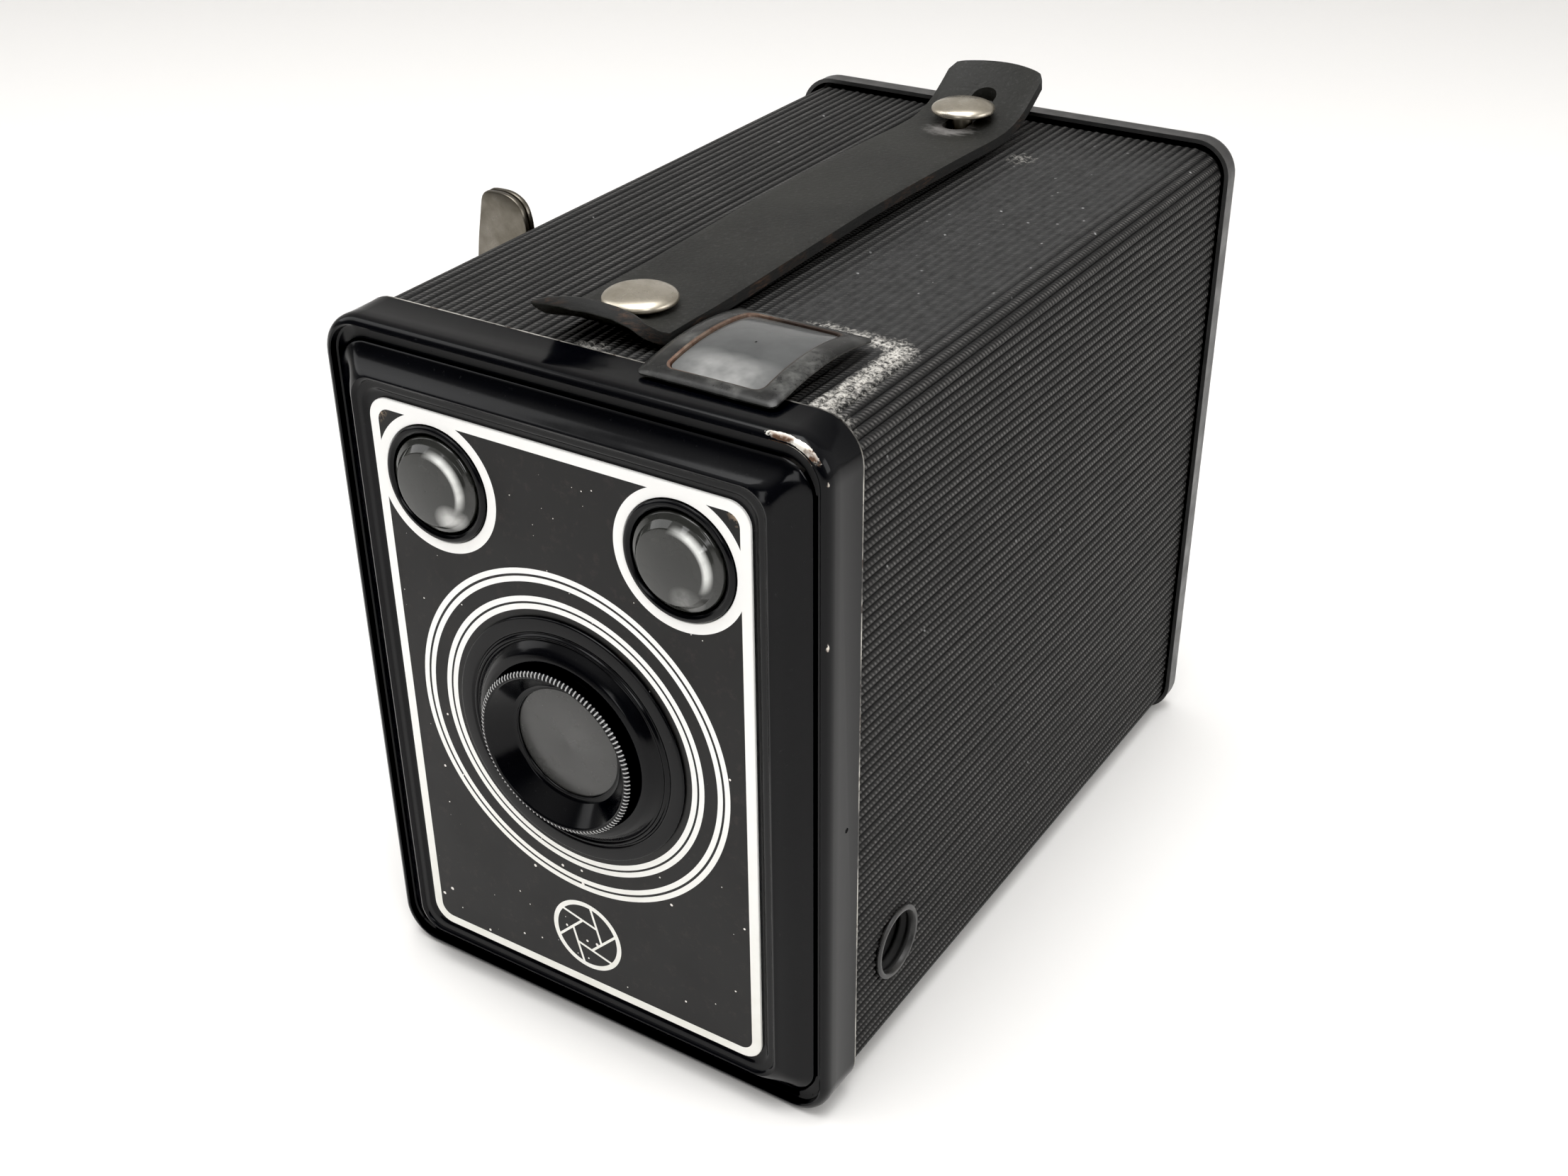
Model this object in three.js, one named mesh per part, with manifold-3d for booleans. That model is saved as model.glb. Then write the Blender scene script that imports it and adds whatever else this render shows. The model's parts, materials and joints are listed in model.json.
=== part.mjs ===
// A metal roll-film box camera: pressed covers on a sheet-steel case, a leather strap, two
// reflecting finders, a rotary shutter, a removable film carrier and a winding key.
//
// Millimetres, +Z up. X runs across the camera and Y runs back from its front. The origin is on
// the standing plane, under the middle of the front cover's flange. Inside the assembly, y is the
// depth behind the front rim, so the assembly itself is moved forward by RIM_TO_ORIGIN.

import * as THREE from 'three';
import { mergeVertices } from 'three/addons/utils/BufferGeometryUtils.js';
import Module from 'manifold-3d';

const wasm = await Module();
wasm.setup();

// ---------------------------------------------------------------- driving dimensions
const RIM_TO_ORIGIN = 5;
const SHEET = 0.7;
const FRONT = { width: 81, height: 110, radius: 6.2, depth: 8.3, edge: 1.6 };
const BACK = { width: 81, height: 110.5, radius: 6, front: 124.6, rear: 129.2 };
const SHELL = { width: 78.1, height: 107.5, bottom: 1.15, radius: 4.6, wall: 0.8, front: 4, rear: 127.4 };
const SKIN = { thickness: 0.4, gap: 0.05, front: 8.6, rear: 124.3 };
const GROOVE = { width: 78.2, height: 107.2, radius: 5.2, depth: 0.9 };
const PAD = { width: 67.2, height: 96.7, radius: 4, slope: 3.9, rise: 2.7 };
const PLATE = { width: 61.8, height: 91.4, radius: 4.8, face: -2.25, thick: 0.4, seat: -1.8, middle: 54.8 };
const LENS = { z: 54.8, bezel: 19.6, knurl: 13, glass: 8.9, bore: 16.3 };
const FINDER = { x: 20, z: 89.65, hole: 8.8, glass: 7.1, reach: 19.5 };
const WINDOW = { width: 20.6, front: 4.3, rear: 28, arch: 1.5, pane: 13.8, paneFront: 5.6, paneRear: 25.2 };
const STRAP = { width: 17, thickness: 2, frontStud: 19, rearStud: 109 };
const STUD = { head: 5.2, shank: 1.6, hole: 1.9 };
const BUSH = { depth: 21.3, height: 19, flange: 5.9, barrel: 5.4, bore: 4.76, length: 7 };
const CARRIER = { halfWidth: 36.6, wall: 0.8, front: 29, rear: 119.5, bottom: 4.2, top: 105.6 };
const CONE = { front: 16, rear: 118.6, small: 10, large: 42, aspect: 0.69, wall: 0.8 };
const GATE = { halfWidth: 28.5, halfHeight: 41.5, bottom: 11.6, top: 98, thickness: 1.3 };
const SPOOL = { depth: 48, top: 94.2, bottom: 15.4, flange: 12.6, core: 5.6, halfLength: 32.8 };
const SPOOL_END = { flange: 1, bore: 2.5, boreDepth: 5.5, slot: 2.6, halfWidth: 1.1, halfHeight: 4.6 };
const ROLLER = { depth: 117, top: 102.2, bottom: 7.6, radius: 3, pin: 1.2 };
const KEY = { shaft: 2.4, blade: 3.4, barrel: 4, reach: 17.4, inner: -42.4, outer: -53.2, thickness: 2.2 };
const KEY_CORNER = 4.5;
const HINGE = { depth: 123.2, z: 1.75, pin: 0.7, bore: 0.77, knuckle: 1.5, half: 12, caseHalf: 5 };
const SHUTTER = { plate: 8.9, x: 0, z: 39.5, radius: 23, disc: 5.6, opening: 5.2, openFrom: -15, openTo: 40 };
const PIVOT = 1.5;
const PIVOT_BORE = 1.58;
const LEVER = { x: -26, z: 38, front: 3.4, rear: 4.2, reach: 16.6, pad: 9 };
const STOPS = { front: 7.4, rear: 7.9, large: 5, small: 3.2, step: 13 };
const TIME_TAB = { z: 70, halfHeight: 2.5 };
const RED_WINDOW = { x: 18, z: 38, radius: 5.5, pivot: 14 };
const LATCH = { low: 94, high: 104, width: 14, stemLow: 98, stemHigh: 102, travel: 2.5 };

const ROUND = 24;       // sides of a large turned piece
const SMALL_ROUND = 16; // sides of a pin, stud or bore

// How far a cutter reaches, through a whole piece or through one wall of the case.
const ALL = [-200, 200];
const LEFT_WALL = [-60, -20];
const RIGHT_WALL = [20, 60];
const TOP_WALL = [100, 130];
const BASE_WALL = [-5, 9];

// ---------------------------------------------------------------- materials
function finish(color, roughness, metalness) {
  return new THREE.MeshStandardMaterial({ color, roughness, metalness });
}
const enamel = finish(0x101114, 0.22, 0.1);
const litho = finish(0x1c1b1b, 0.4, 0.05);
const steel = finish(0x6f7275, 0.45, 0.9);
const blackened = finish(0x151515, 0.6, 0.3);
const nickel = finish(0xc9c2b0, 0.3, 1);
const brass = finish(0xb08d4a, 0.4, 1);
const wood = finish(0x8a6a45, 0.7, 0);
const leather = finish(0x1d1c1b, 0.75, 0);
const leatherette = finish(0x19191a, 0.65, 0);
const clearGlass = finish(0xaab4b8, 0.08, 0);
const redGlass = finish(0x8c1410, 0.2, 0);
const silvered = finish(0xd8dce0, 0.05, 1);

// ---------------------------------------------------------------- solids
function solid(geometry) {
  const bare = geometry.clone();
  bare.deleteAttribute('normal');
  bare.deleteAttribute('uv');
  const merged = mergeVertices(bare, 1e-4);
  return new wasm.Manifold(new wasm.Mesh({
    numProp: 3,
    vertProperties: new Float32Array(merged.attributes.position.array),
    triVerts: new Uint32Array(merged.index.array),
  }));
}

function geometryOf(manifold) {
  const mesh = manifold.getMesh();
  const geometry = new THREE.BufferGeometry();
  geometry.setAttribute('position', new THREE.BufferAttribute(new Float32Array(mesh.vertProperties), 3));
  geometry.setIndex(new THREE.BufferAttribute(new Uint32Array(mesh.triVerts), 1));
  geometry.computeVertexNormals();
  return geometry;
}

function join(first, ...others) {
  return geometryOf(others.reduce((sum, other) => sum.add(solid(other)), solid(first)));
}

function cut(first, ...others) {
  return geometryOf(others.reduce((rest, other) => rest.subtract(solid(other)), solid(first)));
}

// A box from its lowest to its highest corner.
function block([x0, x1], [y0, y1], [z0, z1]) {
  const geometry = new THREE.BoxGeometry(x1 - x0, y1 - y0, z1 - z0);
  return geometry.translate((x0 + x1) / 2, (y0 + y1) / 2, (z0 + z1) / 2);
}

function roundedRect(width, height, radius, middleZ = 0, middleX = 0) {
  const left = middleX - width / 2;
  const right = middleX + width / 2;
  const low = middleZ - height / 2;
  const high = middleZ + height / 2;
  const shape = new THREE.Shape();
  shape.moveTo(left + radius, low);
  shape.lineTo(right - radius, low);
  shape.absarc(right - radius, low + radius, radius, -Math.PI / 2, 0);
  shape.lineTo(right, high - radius);
  shape.absarc(right - radius, high - radius, radius, 0, Math.PI / 2);
  shape.lineTo(left + radius, high);
  shape.absarc(left + radius, high - radius, radius, Math.PI / 2, Math.PI);
  shape.lineTo(left, low + radius);
  shape.absarc(left + radius, low + radius, radius, Math.PI, Math.PI * 1.5);
  return shape;
}

// An outline in X and Z, made solid between two depths.
function slab(shape, front, rear, curveSegments = 5) {
  const depth = rear - front;
  const geometry = new THREE.ExtrudeGeometry(shape, { depth, bevelEnabled: false, curveSegments });
  return geometry.rotateX(Math.PI / 2).translate(0, rear, 0);
}

// An outline in X and Z whose two faces are drawn in by `inset` over the last `edge` of its depth.
function bevelled(shape, front, rear, inset, edge, bevelSegments) {
  const geometry = new THREE.ExtrudeGeometry(shape, {
    depth: rear - front - 2 * edge,
    bevelThickness: edge,
    bevelSize: inset,
    bevelOffset: -inset,
    bevelSegments,
    curveSegments: 5,
  });
  return geometry.rotateX(Math.PI / 2).translate(0, rear - edge, 0);
}

// An outline in Y and Z, made solid across X.
function crosswise(shape, left, right) {
  const depth = right - left;
  const geometry = new THREE.ExtrudeGeometry(shape, { depth, bevelEnabled: false, curveSegments: 8 });
  const basis = new THREE.Matrix4().makeBasis(
    new THREE.Vector3(0, 1, 0),
    new THREE.Vector3(0, 0, 1),
    new THREE.Vector3(1, 0, 0),
  );
  return geometry.applyMatrix4(basis).translate(left, 0, 0);
}

// A piece turned about Y. The profile is a closed ring of [radius, depth] corners.
function turned(profile, sides = ROUND) {
  const points = [...profile, profile[0]].map(([radius, depth]) => new THREE.Vector2(radius, depth));
  const anticlockwise = THREE.ShapeUtils.area(points.slice(0, -1)) > 0;
  return new THREE.LatheGeometry(anticlockwise ? points : points.reverse(), sides);
}

function alongZ(geometry) {
  return geometry.rotateX(Math.PI / 2);
}

function alongX(geometry) {
  return geometry.rotateZ(-Math.PI / 2);
}

// A plain round bar along X.
function barX(radius, [left, right], [y, z] = [0, 0], sides = SMALL_ROUND) {
  const geometry = alongX(new THREE.CylinderGeometry(radius, radius, right - left, sides));
  return geometry.translate((left + right) / 2, y, z);
}

function barY(radius, [front, rear], [x, z] = [0, 0], sides = SMALL_ROUND) {
  const geometry = new THREE.CylinderGeometry(radius, radius, rear - front, sides);
  return geometry.translate(x, (front + rear) / 2, z);
}

function barZ(radius, [low, high], [x, y] = [0, 0], sides = SMALL_ROUND) {
  const geometry = alongZ(new THREE.CylinderGeometry(radius, radius, high - low, sides));
  return geometry.translate(x, y, (low + high) / 2);
}

// ---------------------------------------------------------------- scene graph
const camera = new THREE.Group();
const assembly = new THREE.Group();
assembly.position.y = -RIM_TO_ORIGIN;
camera.add(assembly);

function groupAt(x, y, z, parent = assembly) {
  const group = new THREE.Group();
  group.position.set(x, y, z);
  parent.add(group);
  return group;
}

function add(parent, name, geometry, material) {
  const mesh = new THREE.Mesh(geometry, material);
  mesh.name = name;
  parent.add(mesh);
}

// ---------------------------------------------------------------- openings shared by several skins
const shellMiddle = SHELL.bottom + SHELL.height / 2;
const shellTop = SHELL.bottom + SHELL.height;
const shellSide = SHELL.width / 2;

// The passage from each finder mirror to its window, in the top and in the left side.
function windowPassages(clearance = 0) {
  const half = WINDOW.pane / 2 + clearance;
  const depths = [WINDOW.paneFront - clearance, WINDOW.paneRear + clearance];
  return [
    block([FINDER.x - half, FINDER.x + half], depths, [shellTop - 6, shellTop + 6]),
    block([-shellSide - 6, -shellSide + 6], depths, [FINDER.z - half, FINDER.z + half]),
  ];
}

// Slots in the left side for the release lever, the stop slide and the time tab.
function leverSlots() {
  const across = [-shellSide - 6, -shellSide + 4];
  return [
    block(across, [LEVER.front - 0.4, LEVER.rear + 0.4], [LEVER.z - 7.2, LEVER.z + 2.6]),
    block(across, [STOPS.front - 0.4, STOPS.rear + 0.3], [LENS.z - 3.5, LENS.z + 3.5]),
    block(across, [STOPS.front - 0.4, STOPS.rear + 0.3], [TIME_TAB.z - 3, TIME_TAB.z + 3]),
  ];
}

// ---------------------------------------------------------------- front cover and face plate
function frontCover() {
  const middle = FRONT.height / 2;
  const flange = join(
    bevelled(roundedRect(FRONT.width, FRONT.height, FRONT.radius, middle), 0, 6, FRONT.edge, FRONT.edge, 3),
    slab(roundedRect(FRONT.width, FRONT.height, FRONT.radius, middle), 3, FRONT.depth),
  );
  const hollow = roundedRect(FRONT.width - 2 * SHEET, FRONT.height - 2 * SHEET, FRONT.radius - SHEET, middle);
  const pad = bevelled(
    roundedRect(PAD.width + 2 * PAD.slope, PAD.height + 2 * PAD.slope, PAD.radius + PAD.slope, middle),
    -PAD.rise,
    2 * PAD.slope,
    PAD.slope,
    PAD.rise + 1.2,
    3,
  );
  const raised = join(
    cut(flange, slab(roundedRect(GROOVE.width, GROOVE.height, GROOVE.radius, middle), -1, GROOVE.depth)),
    pad,
  );
  return cut(
    raised,
    slab(hollow, GROOVE.depth + SHEET, ALL[1]),
    slab(roundedRect(PAD.width - 2, PAD.height - 2, PAD.radius, middle), SHEET - PAD.rise + 1, PAD.slope),
    slab(roundedRect(PLATE.width + 0.6, PLATE.height + 0.6, PLATE.radius, PLATE.middle), ALL[0], PLATE.seat),
    barY(LENS.bore - 0.3, ALL, [0, LENS.z], ROUND),
    barY(FINDER.hole - 0.8, ALL, [FINDER.x, FINDER.z], ROUND),
    barY(FINDER.hole - 0.8, ALL, [-FINDER.x, FINDER.z], ROUND),
    ...windowPassages(0.3),
    ...leverSlots(),
  );
}

function facePlate() {
  const outline = roundedRect(PLATE.width, PLATE.height, PLATE.radius, PLATE.middle);
  return cut(
    slab(outline, PLATE.face, PLATE.face + PLATE.thick),
    barY(LENS.bore, ALL, [0, LENS.z], ROUND),
    barY(FINDER.hole, ALL, [FINDER.x, FINDER.z], ROUND),
    barY(FINDER.hole, ALL, [-FINDER.x, FINDER.z], ROUND),
  );
}

add(assembly, 'front_cover', frontCover(), enamel);
add(assembly, 'face_plate', facePlate(), litho);

// ---------------------------------------------------------------- lens mount, turned about its axis
const lens = groupAt(0, 0, LENS.z);

// A flat outer ring, a bead, a shallow cove and a rounded collar, with a spigot behind.
const bezelProfile = [
  [LENS.bezel, -2.3], [LENS.bezel - 0.2, -2.75], [17.3, -2.75], [17, -3.2], [16.3, -3.2],
  [15.9, -2.9], [15.1, -2.9], [14.7, -3.8], [13.9, -4.3], [12.1, -4.5],
  [12.1, -1.2], [15.9, -1.2], [15.9, -2.3],
];
add(lens, 'lens_bezel', turned(bezelProfile), enamel);

// The knurled ring screws into the bezel and holds the front glass behind a black cone.
const knurledProfile = [
  [LENS.knurl, -6.1], [12.6, -6.45], [12.1, -6.45], [9.3, -3.4], [8.1, -3.2],
  [8.1, -3.05], [9.1, -3.05], [9.1, -1.4], [11.9, -1.4], [11.9, -4.7], [LENS.knurl, -4.7],
];
add(lens, 'knurled_ring', turned(knurledProfile), enamel);
add(lens, 'front_glass', barY(LENS.glass, [-3, -2], [0, 0], ROUND), clearGlass);

// ---------------------------------------------------------------- shutter, stops and taking lens
function shutterPlate() {
  return cut(
    slab(roundedRect(75, 73, 3, 40.5), SHUTTER.plate, SHUTTER.plate + SHEET),
    barY(8, ALL, [0, LENS.z], ROUND),
    block([-6.5, 6.5], ALL, [0, 8.5]),
  );
}

// The rotary shutter: a disc with one curved window, closed over the lens at rest.
function shutterDisc() {
  const reach = LENS.z - SHUTTER.z;
  const disc = new THREE.Shape();
  disc.absarc(0, 0, SHUTTER.radius, 0, Math.PI * 2);
  const opening = new THREE.Path();
  const from = THREE.MathUtils.degToRad(SHUTTER.openFrom);
  const to = THREE.MathUtils.degToRad(SHUTTER.openTo);
  opening.absarc(0, 0, reach + SHUTTER.opening, from, to, false);
  opening.absarc(0, 0, reach - SHUTTER.opening, to, from, true);
  disc.holes.push(opening);
  const blank = slab(disc, SHUTTER.disc, SHUTTER.disc + 0.4, 12);
  return cut(blank, barY(PIVOT_BORE, ALL));
}

function shutterPivot() {
  const head = SHUTTER.disc - 0.3;
  return join(barY(PIVOT, [head, SHUTTER.plate - 0.1]), barY(2.6, [head - 0.7, head]));
}

// A flat lever that leaves through the left side, runs back along it and ends in a finger pad.
function releaseLever() {
  const depths = [LEVER.front, LEVER.rear];
  return cut(
    join(
      barY(3, depths),
      block([-LEVER.reach, 0], depths, [-1.6, 1.6]),
      block([0, 9], depths, [-1.2, 1.2]),
      block([-LEVER.reach, 0.8 - LEVER.reach], [LEVER.front, LEVER.pad + 0.4], [-1.6, 1.6]),
      block([-LEVER.reach - 3.4, 0.8 - LEVER.reach], [LEVER.pad, LEVER.pad + 1], [-2.6, 2]),
    ),
    barY(PIVOT_BORE, ALL),
  );
}

function leverPivot() {
  const head = LEVER.front - 0.2;
  return join(barY(PIVOT, [head, SHUTTER.plate - 0.1]), barY(2.4, [head - 0.8, head]));
}

// A bent wire above the lever's inner arm, which it presses down. It stands on the shutter plate.
function leverSpring() {
  const bends = [[2, 10], [3, 6], [6, 3.6], [9, 2.4]];
  const depth = (LEVER.front + LEVER.rear) / 2;
  const path = new THREE.CatmullRomCurve3(bends.map(([x, z]) => new THREE.Vector3(x, depth, z)));
  const section = new THREE.Shape();
  section.absarc(0, 0, 0.35, 0, Math.PI * 2);
  const wire = new THREE.ExtrudeGeometry(section, { steps: 16, extrudePath: path, curveSegments: 3 });
  return join(wire, barY(0.9, [depth - 0.4, SHUTTER.plate - 0.1], bends[0], 8));
}

// A strip with a large and a small stop. Pulling its tab brings the small one over the lens.
function stopSlide() {
  const depths = [STOPS.front, STOPS.rear];
  return cut(
    join(
      block([-8, STOPS.step + 7], depths, [-7.2, 7.2]),
      block([-43.5, -7], depths, [-3, 3]),
      block([-44.5, -43.4], [STOPS.front - 1.2, STOPS.rear], [-3, 3]),
    ),
    barY(STOPS.large, ALL),
    barY(STOPS.small, ALL, [STOPS.step, 0]),
  );
}

function timeTab() {
  const depths = [STOPS.front, STOPS.rear];
  return join(
    block([-43, -18], depths, [-TIME_TAB.halfHeight, TIME_TAB.halfHeight]),
    block([-44, -42.9], [STOPS.front - 1.2, STOPS.rear], [-TIME_TAB.halfHeight, TIME_TAB.halfHeight]),
  );
}

// A meniscus: both faces curve the same way, the hollow one to the front.
function meniscus() {
  const steps = 6;
  const radius = 7.4;
  const front = [];
  const rear = [];
  for (let i = 0; i <= steps; i += 1) {
    const r = (radius * i) / steps;
    front.push([r, 11.8 - 0.9 * (r / radius) ** 2]);
    rear.push([r, 13.6 - 1.7 * (r / radius) ** 2]);
  }
  return turned([...front, ...rear.reverse()]);
}

const lensCellProfile = [
  [10, 9.75], [7, 9.75], [7, 10.7], [7.6, 10.7], [7.6, 12.4], [7.2, 12.9], [9, 12.9], [10, 12.2],
];

add(assembly, 'shutter_plate', shutterPlate(), steel);
add(lens, 'lens_cell', turned(lensCellProfile), brass);
add(lens, 'taking_lens', meniscus(), clearGlass);
const shutter = groupAt(SHUTTER.x, 0, SHUTTER.z);
add(shutter, 'shutter_disc', shutterDisc(), blackened);
add(shutter, 'shutter_pivot', shutterPivot(), brass);
const lever = groupAt(LEVER.x, 0, LEVER.z);
add(lever, 'release_lever', releaseLever(), nickel);
add(lever, 'lever_pivot', leverPivot(), brass);
add(lever, 'lever_spring', leverSpring(), steel);
add(lens, 'stop_slide', stopSlide(), nickel);
add(groupAt(0, 0, TIME_TAB.z), 'time_tab', timeTab(), nickel);

// ---------------------------------------------------------------- reflecting finders
// Both finders are one design: the left one is turned a quarter about the lens axis, so that
// its window is in the left side instead of the top. Here +Z points to the window.
const finderRingProfile = [
  [8.6, -2.5], [7.9, -2.75], [7.4, -2.5], [7.2, -2], [7.2, -0.9], [6.2, -0.9],
  [6.2, 1.5], [7.8, 1.5], [7.8, -1.85], [8.6, -1.85],
];

function finderLens() {
  const steps = 5;
  const dome = [];
  for (let i = 0; i <= steps; i += 1) {
    const r = (FINDER.glass * i) / steps;
    dome.push([r, -1.7 - 1.9 * (1 - (r / FINDER.glass) ** 2)]);
  }
  return turned([...dome, [FINDER.glass, -1], [0, -1]]);
}

// A light box, open to the lens and to the window, with a sloping back behind the mirror.
function finderHousing() {
  const outer = new THREE.Shape();
  [[2.2, -9.6], [3.4, -9.6], [26.4, 13.4], [26.4, 17.3], [2.2, 17.3]].forEach(([y, z], i) => {
    if (i === 0) outer.moveTo(y, z);
    else outer.lineTo(y, z);
  });
  const inner = new THREE.Shape();
  [[1, -9], [2.9, -9], [25.8, 13.9], [25.8, 20], [1, 20]].forEach(([y, z], i) => {
    if (i === 0) inner.moveTo(y, z);
    else inner.lineTo(y, z);
  });
  return cut(crosswise(outer, -7.8, 7.8), crosswise(inner, -7.2, 7.2));
}

function finderMirror() {
  const plate = new THREE.BoxGeometry(13.6, 25, 1);
  return plate.rotateX(Math.PI / 4).translate(0, 13.6, 3.4);
}

// A pressed frame, arched from front to rear, round a rectangular pane.
function windowFrame() {
  const arch = new THREE.Shape();
  const middle = (WINDOW.front + WINDOW.rear) / 2;
  const foot = FINDER.reach + 1.05;
  arch.moveTo(WINDOW.front, foot);
  arch.quadraticCurveTo(middle, foot + 2 * WINDOW.arch - 0.4, WINDOW.rear, foot);
  arch.lineTo(WINDOW.rear, foot + 0.8);
  arch.quadraticCurveTo(middle, foot + 2 * WINDOW.arch + 0.8, WINDOW.front, foot + 0.8);
  const half = WINDOW.pane / 2;
  return cut(
    crosswise(arch, -WINDOW.width / 2, WINDOW.width / 2),
    block([-half, half], [WINDOW.paneFront, WINDOW.paneRear], [0, 40]),
  );
}

function windowPane() {
  const half = WINDOW.pane / 2 - 0.2;
  const height = FINDER.reach + 1.4;
  return block([-half, half], [WINDOW.paneFront + 0.2, WINDOW.paneRear - 0.2], [height, height + 0.8]);
}

for (const [side, x, turn] of [['right', FINDER.x, 0], ['left', -FINDER.x, -Math.PI / 2]]) {
  const finder = groupAt(x, 0, FINDER.z);
  finder.rotation.y = turn;
  add(finder, `finder_ring_${side}`, turned(finderRingProfile), enamel);
  add(finder, `finder_lens_${side}`, finderLens(), clearGlass);
  add(finder, `finder_housing_${side}`, finderHousing(), blackened);
  add(finder, `finder_mirror_${side}`, finderMirror(), silvered);
  const face = side === 'right' ? 'top' : 'side';
  add(finder, `window_frame_${face}`, windowFrame(), blackened);
  add(finder, `window_pane_${face}`, windowPane(), clearGlass);
}

// ---------------------------------------------------------------- case, skin and back rim
// Everything that passes through the case's walls, so the skin has the same holes.
function wallOpenings(clearance) {
  const bushHole = BUSH.barrel + clearance;
  return [
    ...windowPassages(0.3),
    ...leverSlots(),
    barX(bushHole, RIGHT_WALL, [BUSH.depth, BUSH.height]),
    barZ(bushHole, BASE_WALL, [0, BUSH.depth]),
    barX(KEY.barrel + 0.2 + clearance, LEFT_WALL, [SPOOL.depth, SPOOL.top]),
    barZ(STUD.hole, TOP_WALL, [0, STRAP.frontStud]),
    barZ(STUD.hole, TOP_WALL, [0, STRAP.rearStud]),
    block([-HINGE.half - 0.6, HINGE.half + 0.6], [HINGE.depth - 2.2, ALL[1]], [-1, 4]),
  ];
}

// The case's outline in X and Z, grown or shrunk all round.
function caseOutline(offset) {
  return roundedRect(
    SHELL.width + 2 * offset,
    SHELL.height + 2 * offset,
    SHELL.radius + offset,
    shellMiddle,
  );
}

function bodyShell() {
  return cut(
    slab(caseOutline(0), SHELL.front, SHELL.rear),
    slab(caseOutline(-SHELL.wall), ...ALL),
    ...wallOpenings(0.1),
  );
}

function skin() {
  return cut(
    slab(caseOutline(SKIN.gap + SKIN.thickness), SKIN.front, SKIN.rear),
    slab(caseOutline(SKIN.gap), ...ALL),
    ...wallOpenings(0.2),
  );
}

add(assembly, 'body_shell', bodyShell(), steel);
add(assembly, 'leatherette', skin(), leatherette);

// ---------------------------------------------------------------- tripod bushes, turned about their bores
const bushProfile = [
  [BUSH.flange, 0], [BUSH.flange, -0.45], [BUSH.flange - 0.4, -0.6], [BUSH.bore + 0.3, -0.6],
  [BUSH.bore, -0.3], [BUSH.bore, BUSH.length - 1], [0, BUSH.length - 1], [0, BUSH.length],
  [BUSH.barrel, BUSH.length], [BUSH.barrel, 0],
];
const skinOutside = SKIN.gap + SKIN.thickness + 0.05;
const sideBush = turned(bushProfile).rotateZ(Math.PI / 2);
add(groupAt(shellSide + skinOutside, BUSH.depth, BUSH.height), 'tripod_bush_side', sideBush, enamel);
const baseBush = alongZ(turned(bushProfile));
add(groupAt(0, BUSH.depth, SHELL.bottom - skinOutside), 'tripod_bush_base', baseBush, enamel);

// ---------------------------------------------------------------- strap and its studs
// The strap lies along the top. Both ends are curled up, and the rear hole is a slot.
function strap() {
  const half = STRAP.thickness / 2;
  const spine = [
    [7.4, 115.2], [11, 112.9], [14, 111.7], [19, 111.2], [26, 111.2], [45, 111.6], [68, 112],
    [90, 111.7], [106, 111.3], [113, 112.2], [119, 114.6], [124.4, 117.6],
  ].map(([y, z]) => new THREE.Vector2(y, z));
  const curve = new THREE.SplineCurve(spine);
  const upper = [];
  const lower = [];
  const steps = 26;
  for (let i = 0; i <= steps; i += 1) {
    const point = curve.getPoint(i / steps);
    const tangent = curve.getTangent(i / steps);
    const normal = new THREE.Vector2(-tangent.y, tangent.x).multiplyScalar(half);
    upper.push(point.clone().add(normal));
    lower.push(point.clone().sub(normal));
  }
  const section = new THREE.Shape([...lower, ...upper.reverse()]);
  const side = STRAP.width / 2;
  return cut(
    crosswise(section, -side, side),
    barZ(STUD.hole + 0.3, TOP_WALL, [0, STRAP.frontStud]),
    block([-2.2, 2.2], [STRAP.rearStud - 8, STRAP.rearStud + 5.5], TOP_WALL),
  );
}

// A domed rivet about Z: its head over the strap, its shank through the case, its end peened inside.
function stud(headZ) {
  const steps = 4;
  const dome = [];
  for (let i = 0; i <= steps; i += 1) {
    const angle = (Math.PI / 2) * (i / steps);
    dome.push([STUD.head * Math.sin(angle), headZ + 0.5 + 1.7 * Math.cos(angle)]);
  }
  const peen = shellTop - SHELL.wall - 0.1;
  return alongZ(turned([
    ...dome, [STUD.head, headZ + 0.3], [STUD.head - 0.4, headZ], [STUD.shank, headZ],
    [STUD.shank, peen], [2.8, peen], [2.4, peen - 0.8], [0, peen - 0.8],
  ], SMALL_ROUND));
}

add(assembly, 'strap', strap(), leather);
add(groupAt(0, STRAP.frontStud, 0), 'strap_stud_front', stud(113), nickel);
add(groupAt(0, STRAP.rearStud, 0), 'strap_stud_rear', stud(114.2), nickel);

// ---------------------------------------------------------------- film carrier, spools and rollers
// A four-sided tapering block about the lens axis, wider at the film.
function taper(grow, front, rear) {
  const sizeAt = (depth) => THREE.MathUtils.mapLinear(depth, CONE.front, CONE.rear, CONE.small, CONE.large);
  const geometry = new THREE.BoxGeometry(2, 2, 2);
  const corners = geometry.attributes.position;
  for (let i = 0; i < corners.count; i += 1) {
    const depth = corners.getY(i) < 0 ? front : rear;
    const size = sizeAt(depth);
    const x = corners.getX(i) * (size * CONE.aspect + grow);
    const z = corners.getZ(i) * (size + grow);
    corners.setXYZ(i, x, depth, z + LENS.z);
  }
  return geometry;
}

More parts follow.
